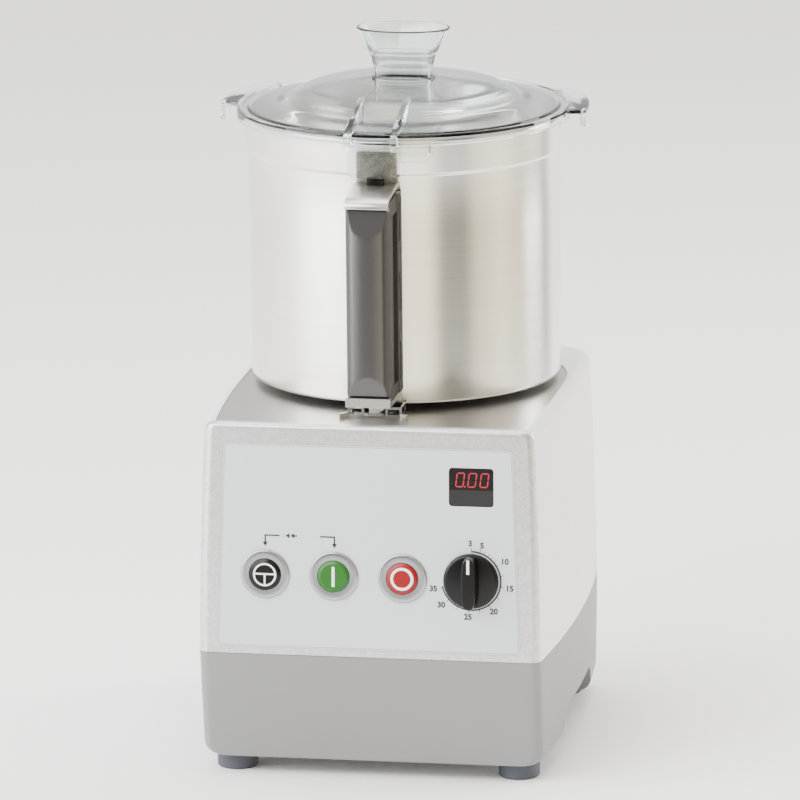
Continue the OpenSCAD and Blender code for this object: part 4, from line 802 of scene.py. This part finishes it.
class MIXER_OT_panel(bpy.types.Operator):
    """Printed lines and numbers on the panel film"""
    bl_idname = "mixer.panel"
    bl_label = "Panel prints"

    def execute(self, context):
        self.scale()
        self.bracket()
        self.outline()
        return {"FINISHED"}

    def scale(self):
        """The arc round the knob, its ticks and its numbers."""
        line, r = size_mm("line_width"), size_mm("scale_radius")
        outlines = bow(KNOB_X, CONTROL_V, r + line / 2, r - line / 2, 90, -168, 96)
        ticks = [(0, 0.0, 3.2), (16.5, 0.0, 2.8)] + [(16.5 + 8.4 * i, 0.8, 2.4) for i in range(1, 5)]
        ticks += [(a, 0.6, 2.6) for a in (58, 79, 100.5, 122, 144.5, 165, 185, 207.5, 229, 255)]
        for angle, start, end in ticks:
            c, d = math.sin(math.radians(angle)), math.cos(math.radians(angle))
            outlines.append(stroke(KNOB_X + (r + start) * c, CONTROL_V + (r + start) * d,
                                   KNOB_X + (r + end) * c, CONTROL_V + (r + end) * d, 0.5))
        printed_piece("speed_scale", outlines, "panel_ink")
        numbers = (("3", 75.3, 87.6), ("5", 84.0, 86.2), ("10", 100.6, 74.8), ("15", 104.2, 55.0),
                   ("20", 92.6, 37.6), ("25", 73.6, 33.0), ("30", 53.9, 41.4), ("35", 48.2, 53.2))
        words("speed_numbers", numbers, size_mm("number_height"), "panel_ink")

    def bracket(self):
        """The arrow that leads from the pulse button to the start button."""
        top, foot, w = 89.0, 82.6, 1.15
        left, left_end, right_end, right = -75.9, -65.2, -35.4, -24.7
        outlines = [stroke(left, top + w / 2, left, foot, w), stroke(left, top, left_end, top, w),
                    stroke(right, top + w / 2, right, foot, w), stroke(right_end, top, right, top, w)]
        for x in (left, right):
            outlines.append([(x, foot - 2.0), (x + 2.0, foot + 1.5), (x - 2.0, foot + 1.5)])
        outlines.append(stroke(-62.0, top - 1.5, -62.0, top + 1.5, 0.35))
        for tip in (-61.0, -57.4):
            outlines.append([(tip, top), (tip + 3.2, top - 2.0), (tip + 3.2, top + 2.0)])
        outlines.append(stroke(-54.4, top, -52.2, top, 1.1))
        printed_piece("pulse_arrow", outlines, "panel_ink")

    def outline(self):
        """The thin line round the film."""
        inset, width, r = 0.9, 0.35, 3.6
        outer, inner = rounded(film_corners(-inset), r), rounded(film_corners(-inset - width), r - 0.3)
        n = len(outer)
        strips = [[inner[i], outer[i], outer[(i + 1) % n], inner[(i + 1) % n]] for i in range(n)]
        printed_piece("film_outline", strips, "outline_ink", thick=0.04)


class MIXER_OT_display(bpy.types.Operator):
    """Red digits behind the smoked window"""
    bl_idname = "mixer.display"
    bl_label = "Display"

    def execute(self, context):
        dress("display_window", "smoked_window")
        x0, x1, low, split, r = 60.4, 92.2, 115.4, 127.0, 2.0
        foot = [(x0, split), (x0, low + r), (x0 + r, low), (x1 - r, low), (x1, low + r), (x1, split)]
        printed_piece("display_band", [foot], "smoked_band", thick=0.05, slot="black_plastic")
        self.digits()
        return {"FINISHED"}

    def digits(self):
        """Three slanted noughts of six segments each, and the point after the first."""
        h = size_mm("digit_height")
        w, t = h * 0.54, h * 0.10
        first_x, pitch, low, outlines = 64.6, 8.9, 129.5, []
        for k in range(3):
            x = first_x + k * pitch
            a, b, c, d = rectangle(x, x + w, low, low + h)
            left, right = (x, low + h / 2), (x + w, low + h / 2)
            for start, end in ((a, b), (d, c), (a, left), (left, d), (b, right), (right, c)):
                outlines.append(self.segment(start, end, t, low))
            if k == 0:
                dot, half = x + w + 1.3, t * 0.6
                outlines.append(rectangle(dot - half, dot + half, low - half, low + half))
        printed_piece("display_digits", outlines, "lit_segment", thick=0.05, slot="black_plastic")

    def segment(self, start, end, t, low):
        """A six-sided bar between two corners, leaning with its digit."""
        start, end = Vector(start), Vector(end)
        along = (end - start).normalized()
        aside = Vector((along.y, -along.x)) * t / 2
        gap, nose, lean = along * t * 0.15, along * t * 0.5, 0.13
        start, end = start + gap, end - gap
        loop = (start, start + nose + aside, end - nose + aside, end, end - nose - aside,
                start + nose - aside)
        return [(p.x + (p.y - low) * lean, p.y) for p in loop]


class MIXER_OT_buttons(bpy.types.Operator):
    """Rings of the three buttons, and the signs on their caps"""
    bl_idname = "mixer.buttons"
    bl_label = "Buttons"

    def execute(self, context):
        self.rings()
        reach = 7.4
        split = bow(PULSE_X, CONTROL_V, 8.6, 7.3, 0, 360, 64)
        split.append(stroke(PULSE_X - reach, CONTROL_V + 0.5, PULSE_X + reach, CONTROL_V + 0.5, 1.2))
        split.append(stroke(PULSE_X, CONTROL_V, PULSE_X, CONTROL_V - reach, 1.2))
        upright = stroke(START_X, CONTROL_V - reach, START_X, CONTROL_V + reach, 2.2)
        nought = bow(STOP_X, CONTROL_V, 8.5, 6.5, 0, 360, 64)
        for button, outlines, slot in (("pulse", split, "black_plastic"),
                                       ("start", [upright], "green_plastic"),
                                       ("stop", nought, "red_plastic")):
            printed_piece(button + "_sign", outlines, "white_ink", button + "_button", 2.8, 0.05, slot)
        return {"FINISHED"}

    def rings(self):
        """Three rings with a gently dished face and a rounded rim."""
        profile = [(11.8, -0.7), (11.8, 1.5), (12.1, 1.75), (13.5, 1.8), (15.4, 1.88), (16.9, 1.82),
                   (17.6, 1.6), (18.05, 1.15), (18.2, 0.7), (18.2, 0.3), (14.6, 0.3), (14.6, -12.0),
                   (4.3, -12.0), (4.3, -10.5), (13.1, -10.5), (13.1, -0.7)]
        for node, x in zip(("pulse_bezel", "start_bezel", "stop_bezel"), CONTROL_XS):
            Form().lathe(profile, (x, CONTROL_V), 96).piece(
                node.replace("bezel", "ring"), "base", "ring_plastic", "white_plastic", PANEL,
                replaces=(node,))


class MIXER_OT_knob(bpy.types.Operator):
    """Speed knob: a turned skirt, a ridge to grip and a white pointer"""
    bl_idname = "mixer.knob"
    bl_label = "Speed knob"

    def execute(self, context):
        skirt = [(0.0, 0.8), (20.0, 0.8), (20.3, 1.1), (20.3, 2.6), (20.0, 3.4), (19.3, 4.1), (18.6, 4.5),
                 (17.8, 4.7), (0.0, 4.9)]
        Form().lathe(skirt, (KNOB_X, CONTROL_V), 96, closed=False).piece(
            "knob_skirt", "knob", "black_plastic", place=PANEL, replaces=("speed_knob",))
        top = 16.24
        ridge = [(4.0, 6.6, 19.2), (5.2, 6.2, 19.15), (8.0, 5.7, 19.0), (12.0, 5.5, 18.9), (15.0, 5.2, 18.7),
                 (15.8, 4.9, 18.5), (16.2, 4.3, 18.0), (top, 3.6, 17.4)]
        rings = [oval((KNOB_X, CONTROL_V), half, reach, (0.55, 0.7), z, 48) for z, half, reach in ridge]
        Form().rings(rings).piece("knob_ridge", "knob", "black_plastic", place=PANEL)
        pointer = stroke(KNOB_X, CONTROL_V + 8.0, KNOB_X, CONTROL_V + 18.4, 2.0)
        printed_piece("knob_pointer", [pointer], "white_ink", "knob", top, 0.05, "black_plastic")
        return {"FINISHED"}


class MIXER_OT_bowl(bpy.types.Operator):
    """Brushed steel bowl: a drawn wall with a step, a rolled rim and a chimney for the shaft"""
    bl_idname = "mixer.bowl"
    bl_label = "Bowl"

    def execute(self, context):
        foot_r, wall = 4.0, 1.5
        outer = [(21.8, 0.0)] + arc(BOWL_R - foot_r, foot_r, foot_r, -90, 0, 12)
        outer += [(BOWL_R, 30), (BOWL_R, 80), (BOWL_R, 130), (BOWL_R, 169.6), (115.15, 170.3),
                  (115.85, 171.3), (116.5, 172.0), (BAND_R, 172.8), (BAND_R, 192.4), (117.0, 193.6),
                  (117.8, 194.5), (119.0, 195.3), (119.45, 196.0), (119.5, 196.8), (119.3, 197.4),
                  (118.8, 197.7), (115.7, 197.7), (115.35, 197.5), (115.2, 197.0)]
        inner = [(115.2, 173.2), (BOWL_R, 172.4), (113.8, 171.0), (BOWL_R - wall, 170.2),
                 (BOWL_R - wall, 120), (BOWL_R - wall, 60)]
        inner += arc(BOWL_R - foot_r, foot_r, foot_r - wall, 0, -90, 8)
        inner += [(23.3, wall), (23.3, 14.5), (14, 14.5), (14, 80), (11.5, 80), (11.5, 13), (21.8, 13)]
        Form().lathe([(r, z + FLOOR) for r, z in outer + inner], (0.0, AXIS), 192).piece(
            "bowl_wall", "bowl", "bowl_steel", "polished_steel", replaces=("bowl_shell",))
        return {"FINISHED"}


class MIXER_OT_handle(bpy.types.Operator):
    """Handle's straps, grip and safety rod"""
    bl_idname = "mixer.handle"
    bl_label = "Handle"

    def execute(self, context):
        dress("handle_foot", "strap_steel")
        low, high = ([c / MM for c in corner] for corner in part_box("rod_plunger"))
        box_form(low, high).piece("plunger_block", "rod", "black_plastic", bevel=0.9,
                                  replaces=("rod_plunger",))
        self.bracket()
        self.grip()
        return {"FINISHED"}

    def bracket(self):
        """A mottled post up the bowl's wall and a brushed strap that bends over the grip."""
        post_half, strap_half = 14.7, 16.0
        post = rectangle(AXIS - 119.1, AXIS - 116.9, FLOOR + 164.1, FLOOR + 188.3)
        Form().prism(post, -post_half, post_half).piece(
            "handle_post", "bowl", "stamped_steel", "polished_steel", ACROSS, bevel=0.5,
            replaces=("handle_bracket",))
        top = [(-117.0, 166.3), (-124.0, 166.0), (-134.0, 165.3), (-146.0, 164.2), (-154.0, 163.3),
               (-159.0, 162.4), (-162.4, 161.0), (-164.3, 159.0), (-164.9, 156.8), (-164.9, 155.6)]
        sheet, inward, bend_from, bend_run, flat_from, flat_run = 2.2, 2.1, -150.0, 13.0, -168.0, 10.0
        low = []
        for y, z in top[:-1]:
            bent, flat = (bend_from - y) / bend_run, (y - flat_from) / flat_run
            low.append((y + inward * min(1.0, max(0.0, bent)), z - sheet * min(1.0, max(0.12, flat))))
        low.append((-162.8, 155.6))
        side = [(y + AXIS, z + FLOOR) for y, z in top + low[::-1]]
        Form().prism(side[::-1], -strap_half, strap_half).piece(
            "handle_strap", "bowl", "strap_steel", "polished_steel", ACROSS, bevel=0.35,
            cuts=(rod_box(PLUNGER_HALF_W, PLUNGER_HALF_D, FLOOR + 150, FLOOR + 170),),
            replaces=("handle_bracket",))

    def grip(self):
        """A bar with a round front that flattens at both ends, a spine with grooves and two bridges."""
        low, high, lip_low, lip_high, lip, steps = 12.7, 160.1, 16.3, 155.3, 2.5, 96
        bridge_front, bridge_rear, tip_half_w, tip_half_d, tip_high = 150.0, 127.0, 6.3, 2.8, 14.7
        groove_in, groove_out, groove_half, groove_high = 15.9, 19.0, 1.5, 29.0
        rings = []
        for i in range(steps + 1):
            h = low + (high - low) * i / steps
            front = GRIP_FRONT if lip_low <= h <= lip_high else GRIP_FRONT - lip
            rings.append([(x, y, h + FLOOR) for x, y in self.plan(front, h)])
        spine = [(17.3, -113.0), (-17.3, -113.0), (-17.3, -127.7), (-16.5, -128.5), (16.5, -128.5),
                 (17.3, -127.7)]
        spine = Form().prism([(x, y + AXIS) for x, y in spine], FLOOR + low, FLOOR + high)
        cuts = [(spine.mesh(), "UNION")]
        for z0, z1 in ((low, 22.0), (148.0, high)):
            bridge = box_form((-GRIP_HALF, AXIS - bridge_front, FLOOR + z0),
                              (GRIP_HALF, AXIS - bridge_rear, FLOOR + z1))
            cuts.append((bridge.mesh(), "UNION"))
        cuts += [round_bar(0.0, AXIS, BOWL_R + BOWL_GAP, FLOOR - 5, FLOOR + 200, 192).mesh(),
                 round_bar(0.0, AXIS, BAND_R + BOWL_GAP, FLOOR + 155, FLOOR + 200, 192).mesh(),
                 rod_box(PLUNGER_HALF_W, PLUNGER_HALF_D, FLOOR + 157, FLOOR + 170),
                 rod_box(tip_half_w, tip_half_d, FLOOR, FLOOR + tip_high),
                 round_bar(0.0, AXIS - ROD_AT, 3.3, FLOOR, FLOOR + 170, 24).mesh()]
        for share in (0.06, 0.41, 0.76):
            z0 = FLOOR + low + share * (high - low)
            for x0, x1 in ((-groove_out, -groove_in), (groove_in, groove_out)):
                groove = box_form((x0, AXIS - ROD_AT - groove_half, z0),
                                  (x1, AXIS - ROD_AT + groove_half, z0 + groove_high))
                cuts.append(groove.mesh())
        Form().rings(rings).piece("grip_bar", "bowl", "grip_plastic", sharp=38.0, cuts=cuts,
                                  replaces=("handle_grip",))

    def plan(self, front, h):
        """The bar's outline at a height: a low crown between round corners, cut flat near both ends."""
        half, r, rise, chamfer, steps = GRIP_HALF, 6.0, 2.6, 1.0, 48
        cut_high, cut_low = (h - 135.0) / 19.0 * 3.6, (31.0 - h) / 14.0 * 3.0
        facet = front - max(0.0, cut_high, cut_low)
        loop = []
        for k in range(steps + 1):
            x = half * math.sin(math.pi * (k / steps - 0.5))
            side = max(0.0, abs(x) - half + r)
            crown = front - rise * (x / half) ** 2 - (r - math.sqrt(max(0.0, r * r - side * side)))
            loop.append((x, AXIS - min(crown, facet)))
        rear = AXIS - GRIP_REAR
        return loop + [(half, rear - chamfer), (half - chamfer, rear), (chamfer - half, rear),
                       (-half, rear - chamfer)]


class MIXER_OT_clip(bpy.types.Operator):
    """Bent sheet clip on the deck: two upright loops and two wings beside the handle's foot"""
    bl_idname = "mixer.clip"
    bl_label = "Deck clip"

    def execute(self, context):
        z, t, half, wire, high, wing_out, wing_x = DECK_Z, 1.5, 20.0, 1.6, 8.0, 9.0, 18.5
        front, rear, loop_rear = AXIS - CLIP_FRONT, AXIS - CLIP_REAR, AXIS - CLIP_LOOP_REAR
        hole_low, hole_high = z + t + 0.8, z + high - wire
        slot = box_form((-DECK_SLOT_HALF, AXIS - 128.2, z - 1), (DECK_SLOT_HALF, rear + 1, z + 3))
        cuts = [slot.mesh()]
        for side in (-1, 1):
            a, b = sorted((side * 8.0, side * half))
            cuts.append(self.loop((a, front, z), (b, front + t, z + high),
                                  (a + wire, front - 1, hole_low), (b - wire, front + t + 1, hole_high)))
            a, b = sorted((side * (half - t), side * half))
            cuts.append(self.loop((a, front, z), (b, loop_rear, z + high),
                                  (a - 1, front + 2 * t + wire, hole_low),
                                  (b + 1, loop_rear - wire, hole_high)))
            wing = box_form((0, 0, 0), (wing_out, t, high / 2)).mesh()
            place = Matrix.Translation((wing_x * MM, front * MM, z * MM))
            turn = Matrix.Rotation(math.radians(-50.0), 4, "Z")
            wing.transform(Matrix.Diagonal((side, 1, 1, 1)) @ place @ turn)
            if side < 0:
                wing.flip_normals()
            cuts.append((wing, "UNION"))
        box_form((-half, front, z), (half, rear, z + t)).piece(
            "clip_sheet", "base", "clip_steel", "polished_steel", cuts=cuts, bevel=0.25,
            replaces=("deck_clip",))
        return {"FINISHED"}

    def loop(self, low, high, hole_low, hole_high):
        """An upright plate with a window, to join to the sheet."""
        window = box_form(hole_low, hole_high)
        return (carved(box_form(low, high).mesh(), [window.mesh()]), "UNION")


def dome_curve(drop):
    """The dome's profile from its edge to the middle, below its top by drop."""
    inner = [(r * DOME_R, RIM + LID_TOP - drop + rise * DOME_RISE) for r, rise in DOME_SHARES]
    return curve_through(inner) + [(0.0, RIM + LID_TOP - drop + DOME_RISE)]


def lid_skin():
    """The lid's outer surface from the skirt's foot to the middle of the dome."""
    top, groove = RIM + LID_TOP, RIM + LID_TOP - LID_GROOVE
    return [(SKIRT_R - 0.3, RIM - SKIRT_H), (SKIRT_R, RIM - SKIRT_H + 0.3), (SKIRT_R, top - 0.9),
            (SKIRT_R - 0.25, top - 0.25), (SKIRT_R - 0.9, top), (120.4, top), (120.1, top - 0.2),
            (119.8, groove + 0.1), (119.4, groove), (116.1, groove), (115.8, groove + 0.1),
            (115.5, top - 0.2), (115.1, top)] + dome_curve(0.0)


def lid_solid(grow):
    """The room that the lid takes, filled, grown by a gap."""
    skin = [(r + grow if r else 0.0, z + grow if z > RIM else z - grow) for r, z in lid_skin()]
    return Form().lathe([(0.0, RIM - SKIRT_H - grow)] + skin, (0.0, AXIS), 192, closed=False)


def corner_rounded(inner_side, outer_side, r):
    """A curved plate whose outer side's two corners are rounded."""
    first, last = Vector(outer_side[0]), Vector(outer_side[-1])
    keep = [p for p in outer_side if (Vector(p) - first).length > r and (Vector(p) - last).length > r]

    def turn(side, corner, along):
        a = corner + (Vector(side) - corner).normalized() * r
        b = corner + (Vector(along) - corner).normalized() * r
        shares = [i / 8 for i in range(9)]
        return [tuple((1 - t) ** 2 * a + 2 * t * (1 - t) * corner + t * t * b) for t in shares]

    return (list(inner_side) + turn(inner_side[-1], first, keep[0]) + keep
            + turn(inner_side[0], last, keep[-1])[::-1])


class MIXER_OT_lid(bpy.types.Operator):
    """Clear lid: skirt, groove, dome, two ears with hooks and the latch"""
    bl_idname = "mixer.lid"
    bl_label = "Lid"

    def execute(self, context):
        self.dome()
        self.latch()
        return {"FINISHED"}

    def dome(self):
        inner = dome_curve(LID_WALL)[::-1]
        roof, foot = RIM + 1.8, RIM - SKIRT_H
        profile = [(0.0, inner[0][1])] + inner[1:-1] + [
            (DOME_R, roof), (121.0, roof), (121.2, roof - 0.2), (121.2, foot + 0.3), (121.5, foot)]
        shell = Form().lathe(profile + lid_skin(), (0.0, AXIS), 192, closed=False)
        tube = [oval((0.0, AXIS), 21.5, 12.1, (TUBE_POWER, TUBE_POWER), z) for z in (RIM - 40, RIM + 60)]
        cuts = [Form().rings(tube).mesh()]
        sweep, hook_sweep, hook_inset, ear_r, seam_r = 38.0, 5.0, 0.5, 137.0, 123.2
        for turn in (-5.0, 147.0):
            outline = arc(0.0, AXIS, seam_r, turn, turn + sweep, 24)
            edge = arc(0.0, AXIS, ear_r, turn + sweep, turn, 24)
            plate = Form().prism(corner_rounded(outline, edge, 5.0), RIM + 1.2, RIM + 4.4)
            start = turn + hook_inset if turn < 0 else turn + sweep - hook_inset - hook_sweep
            hook = sector(ear_r - 0.2, ear_r - 3.7, start, start + hook_sweep, RIM - 8.8, RIM + 2.0, 6)
            cuts += [(eased(plate.mesh(), 0.5), "UNION"), (eased(hook.mesh(), 0.6), "UNION")]
        shell.piece("lid_shell", "lid", "clear_plastic", cuts=cuts, replaces=("lid_dome",))

    def latch(self):
        """Two ribs down the dome, a web over the skirt, a flap before the bowl and a side tongue."""
        half, web_out, flap_in, flap_low, flap_high = 19.0, 129.6, 126.9, RIM - 26.0, RIM - 4.2
        tongue_in, tongue_x, tongue_low, tongue_high = 124.1, (15.0, 42.0), RIM - 15.0, RIM - 3.9
        parts = [self.sheet(web_out, flap_in, (-half, half), flap_low, flap_high),
                 self.sheet(flap_in - 0.2, tongue_in, tongue_x, tongue_low, tongue_high)]
        rib = [(-web_out, -6.9), (-62.0, -6.9), (-62.0, 21.0), (-81.5, 19.1), (-96.0, 15.0), (-112.0, 10.0),
               (-122.0, 7.4), (-127.0, 5.6), (-129.2, 3.2), (-web_out, 0.5)]
        rib = [(AXIS + y, RIM + z) for y, z in rib]
        rib_half = 2.5
        for x in (-20.2, 14.2):
            form = Form().prism(rib, x - rib_half, x + rib_half)
            parts.append((eased(form.mesh(ACROSS), 0.8), "UNION"))
        parts.append(lid_solid(0.05).mesh())
        parts.append(round_bar(0.0, AXIS, 121.3, RIM - 60, RIM + 1.0, 192).mesh())
        band(web_out, 123.75, -half, half, RIM - 7.0, RIM - 4.0).piece(
            "latch_body", "lid", "clear_plastic", cuts=parts, replaces=("lid_latch",))

    def sheet(self, r_out, r_in, xs, low, high):
        """A curved sheet before the bowl with rounded corners, to join to the web."""
        outline = Form().prism(rounded(rectangle(*xs, low, high), 3.0), 60, 160)
        cut = (outline.mesh(FORWARD), "INTERSECT")
        return (carved(band(r_out, r_in, *xs, low, high).mesh(), [cut]), "UNION")


class MIXER_OT_funnel(bpy.types.Operator):
    """Clear feed funnel: oblong tube, collar, ring and a flared mouth with a rolled lip"""
    bl_idname = "mixer.funnel"
    bl_label = "Feed funnel"

    def execute(self, context):
        outer = [(21.4, 12.0, 0.62, 8.0), (21.4, 12.0, 0.62, 31.0), (21.7, 12.3, 0.62, 31.6),
                 (22.1, 12.6, 0.62, 32.4), (22.3, 12.75, 0.63, 33.4), (24.2, 13.9, 0.66, 41.6),
                 (24.9, 14.5, 0.68, 42.2), (25.4, 15.0, 0.69, 43.0), (25.6, 15.1, 0.70, 44.0),
                 (28.6, 17.6, 0.77, 50.0), (31.4, 20.0, 0.84, 55.4), (33.6, 21.9, 0.91, 59.6),
                 (34.3, 22.6, 0.94, 60.4), (34.8, 23.0, 0.95, 61.0), (34.8, 23.0, 0.95, 61.7),
                 (34.5, 22.7, 0.95, 62.0)]
        inner = [(33.0, 21.2, 0.95, 62.0), (32.6, 20.8, 0.95, 61.7), (31.7, 20.0, 0.94, 60.4),
                 (29.2, 17.8, 0.86, 55.4), (26.4, 15.4, 0.78, 50.0), (23.2, 12.8, 0.70, 44.0),
                 (22.0, 11.7, 0.66, 41.6), (19.6, 10.2, 0.62, 33.0), (19.2, 9.8, 0.62, 31.4),
                 (19.2, 9.8, 0.62, 8.0)]
        collar = [(23.6, 14.2, TUBE_POWER, 23.9), (23.6, 14.2, TUBE_POWER, 24.9),
                  (23.3, 13.9, TUBE_POWER, 25.5), (22.6, 13.2, TUBE_POWER, 25.8)]
        bore = [(20.4, 11.0, TUBE_POWER, 20.0), (20.4, 11.0, TUBE_POWER, 30.0)]
        sleeve = carved(self.skin(collar).mesh(), [self.skin(bore).mesh()])
        self.skin(outer + inner, closed=True).piece(
            "funnel_shell", "lid", "clear_plastic", cuts=[(sleeve, "UNION")],
            replaces=("feed_funnel",))
        return {"FINISHED"}

    def skin(self, rows, closed=False):
        """Ovals from rows of half width, half depth, power and height above the bowl's rim."""
        rings = [oval((0.0, AXIS), w, d, (power, power), RIM + z) for w, d, power, z in rows]
        return Form().rings(rings, closed=closed)


class MIXER_OT_stage(bpy.types.Operator):
    """Pale floor, soft studio light and the camera"""
    bl_idname = "mixer.stage"
    bl_label = "Stage"

    def execute(self, context):
        self.floor()
        self.lights()
        context.scene.world = self.studio()
        self.camera(context)
        return {"FINISHED"}

    def floor(self):
        """A pale table whose far part is toned by bearing, which gives the bowl its upright bands."""
        f = Finish("pale_floor", 0.85)
        tones = [(-180, 0.94, 0.0), (-60, 0.95, 0.0), (-32, 0.92, 0.0), (-20, 0.16, 0.0), (-2, 0.16, 0.02),
                 (12, 0.93, 0.10), (26, 0.95, 0.13), (37, 0.12, 0.16), (54, 0.10, 0.16), (64, 0.52, 0.14),
                 (84, 0.76, 0.12), (104, 0.40, 0.12), (124, 0.40, 0.08), (136, 0.22, 0.03),
                 (148, 0.94, 0.0), (180, 0.94, 0.0)]
        near = f.mix(f.noise(3.0), (0.94, 0.94, 0.94), (0.95, 0.95, 0.95))
        far = f.tone_round(f.place, tones, (0.7, 3.0), "LINEAR")
        distance = f.axis("X", f.place) ** 2.0 + f.axis("Y", f.place) ** 2.0
        f.feed("Base Color", f.mix(distance.over(1.0, 0.62), near, far))
        mesh = bpy.data.meshes.new("floor")
        reach, z = 16.0, -0.0001
        mesh.from_pydata([(x, y, z) for x, y in rectangle(-reach, reach, -reach, reach)], [], [[0, 1, 2, 3]])
        mesh.materials.append(FINISHES["pale_floor"])
        placed("floor", mesh)

    def lights(self):
        """Area lights: name, place, the point they face, power, width, height, spread and colour."""
        white, middle, wide = (1.0, 1.0, 1.0), (0.0, 0.0, 0.25), 180.0
        for name, where, target, power, width, height, spread, tone in (
                ("key_left", (-2.2, -1.4, 1.6), middle, 110.0, 2.2, 2.4, wide, white),
                ("top_soft", (0.1, 0.3, 2.3), middle, 46.0, 1.9, 1.9, wide, white),
                ("side_right", (2.3, 1.2, 1.0), middle, 75.0, 0.9, 2.2, wide, (1.0, 0.99, 0.97)),
                ("front_high", (-0.9, -2.4, 2.4), middle, 55.0, 1.4, 1.0, wide, white),
                ("floor_left", (-1.6, -1.5, 1.0), (-1.8, -1.7, 0.0), 85.0, 1.5, 1.5, 80.0, white)):
            lamp = bpy.data.lights.new(name, "AREA")
            lamp.shape = "RECTANGLE"
            lamp.size = width
            lamp.size_y = height
            lamp.energy = power
            lamp.color = tone
            lamp.spread = math.radians(spread)
            holder = placed(name, lamp)
            holder.location = where
            aim = Vector(target) - Vector(where)
            holder.rotation_euler = aim.to_track_quat("-Z", "Y").to_euler()

    def studio(self):
        """Soft light from all round: white on the left, warm on the right, with dark flags between."""
        world = bpy.data.worlds.new("studio")
        world.use_nodes = True
        graph = Graph(world.node_tree)
        tones = [(-180, 0.42, 0.0), (-130, 0.55, 0.0), (-95, 0.95, 0.0), (-38, 1.0, 0.0), (-20, 0.16, 0.0),
                 (-2, 0.16, 0.04), (12, 0.60, 0.13), (26, 0.64, 0.14), (37, 0.12, 0.14), (54, 0.12, 0.14),
                 (68, 0.46, 0.13), (88, 0.56, 0.12), (108, 0.34, 0.10), (126, 0.34, 0.04),
                 (138, 0.30, 0.0), (150, 0.60, 0.0), (180, 0.42, 0.0)]
        sky = graph.tone_round(graph.node("ShaderNodeTexCoord", out="Generated"), tones, (0.5, 2.2), "EASE")
        background = graph.tree.nodes["Background"]
        background.inputs["Strength"].default_value = 3.1
        graph.tree.links.new(sky.socket, background.inputs["Color"])
        return world

    def camera(self, context):
        """A long lens, on the line of sight of the photograph."""
        azimuth, elevation, roll = (math.radians(a) for a in (9.975, 13.229, -0.579))
        target, distance = Vector((-0.00527, AXIS * MM, 0.2469)), 5.5809
        back = Vector((math.sin(azimuth) * math.cos(elevation),
                       -math.cos(azimuth) * math.cos(elevation), math.sin(elevation)))
        right = Vector((math.cos(azimuth), math.sin(azimuth), 0.0))
        up = back.cross(right)
        across = right * math.cos(roll) + up * math.sin(roll)
        upward = up * math.cos(roll) - right * math.sin(roll)
        lens = bpy.data.cameras.new("camera")
        for key, value in (("sensor_width", 36.0), ("lens", 336.6), ("clip_start", 0.5), ("clip_end", 60.0)):
            setattr(lens, key, value)
        camera = placed("camera", lens)
        place = Matrix((across, upward, back)).transposed().to_4x4()
        place.translation = target + back * distance
        camera.matrix_world = place
        context.scene.camera = camera


class MIXER_PT_parts(bpy.types.Panel):
    bl_label = "Cutter mixer"
    bl_idname = "MIXER_PT_parts"
    bl_space_type = "VIEW_3D"
    bl_region_type = "UI"
    bl_category = "Cutter mixer"

    def draw(self, context):
        column = self.layout.column()
        for group in (context.scene.mixer_colours, context.scene.mixer_sizes):
            for name in group.bl_rna.properties.keys():
                if name not in ("name", "rna_type"):
                    column.prop(group, name)
        for operator in OPERATORS:
            column.operator(operator.bl_idname)


OPERATORS = (MIXER_OT_base, MIXER_OT_panel, MIXER_OT_display, MIXER_OT_buttons, MIXER_OT_knob,
             MIXER_OT_bowl, MIXER_OT_handle, MIXER_OT_clip, MIXER_OT_lid, MIXER_OT_funnel, MIXER_OT_stage)
CLASSES = (MixerColours, MixerSizes, *OPERATORS, MIXER_PT_parts)


def register():
    for cls in CLASSES:
        bpy.utils.register_class(cls)
    bpy.types.Scene.mixer_colours = bpy.props.PointerProperty(type=MixerColours)
    bpy.types.Scene.mixer_sizes = bpy.props.PointerProperty(type=MixerSizes)


def unregister():
    del bpy.types.Scene.mixer_sizes
    del bpy.types.Scene.mixer_colours
    for cls in reversed(CLASSES):
        bpy.utils.unregister_class(cls)


def main():
    register()
    make_finishes()
    for operator in OPERATORS:
        group, name = operator.bl_idname.split(".")
        getattr(getattr(bpy.ops, group), name)()


if __name__ == "__main__":
    main()
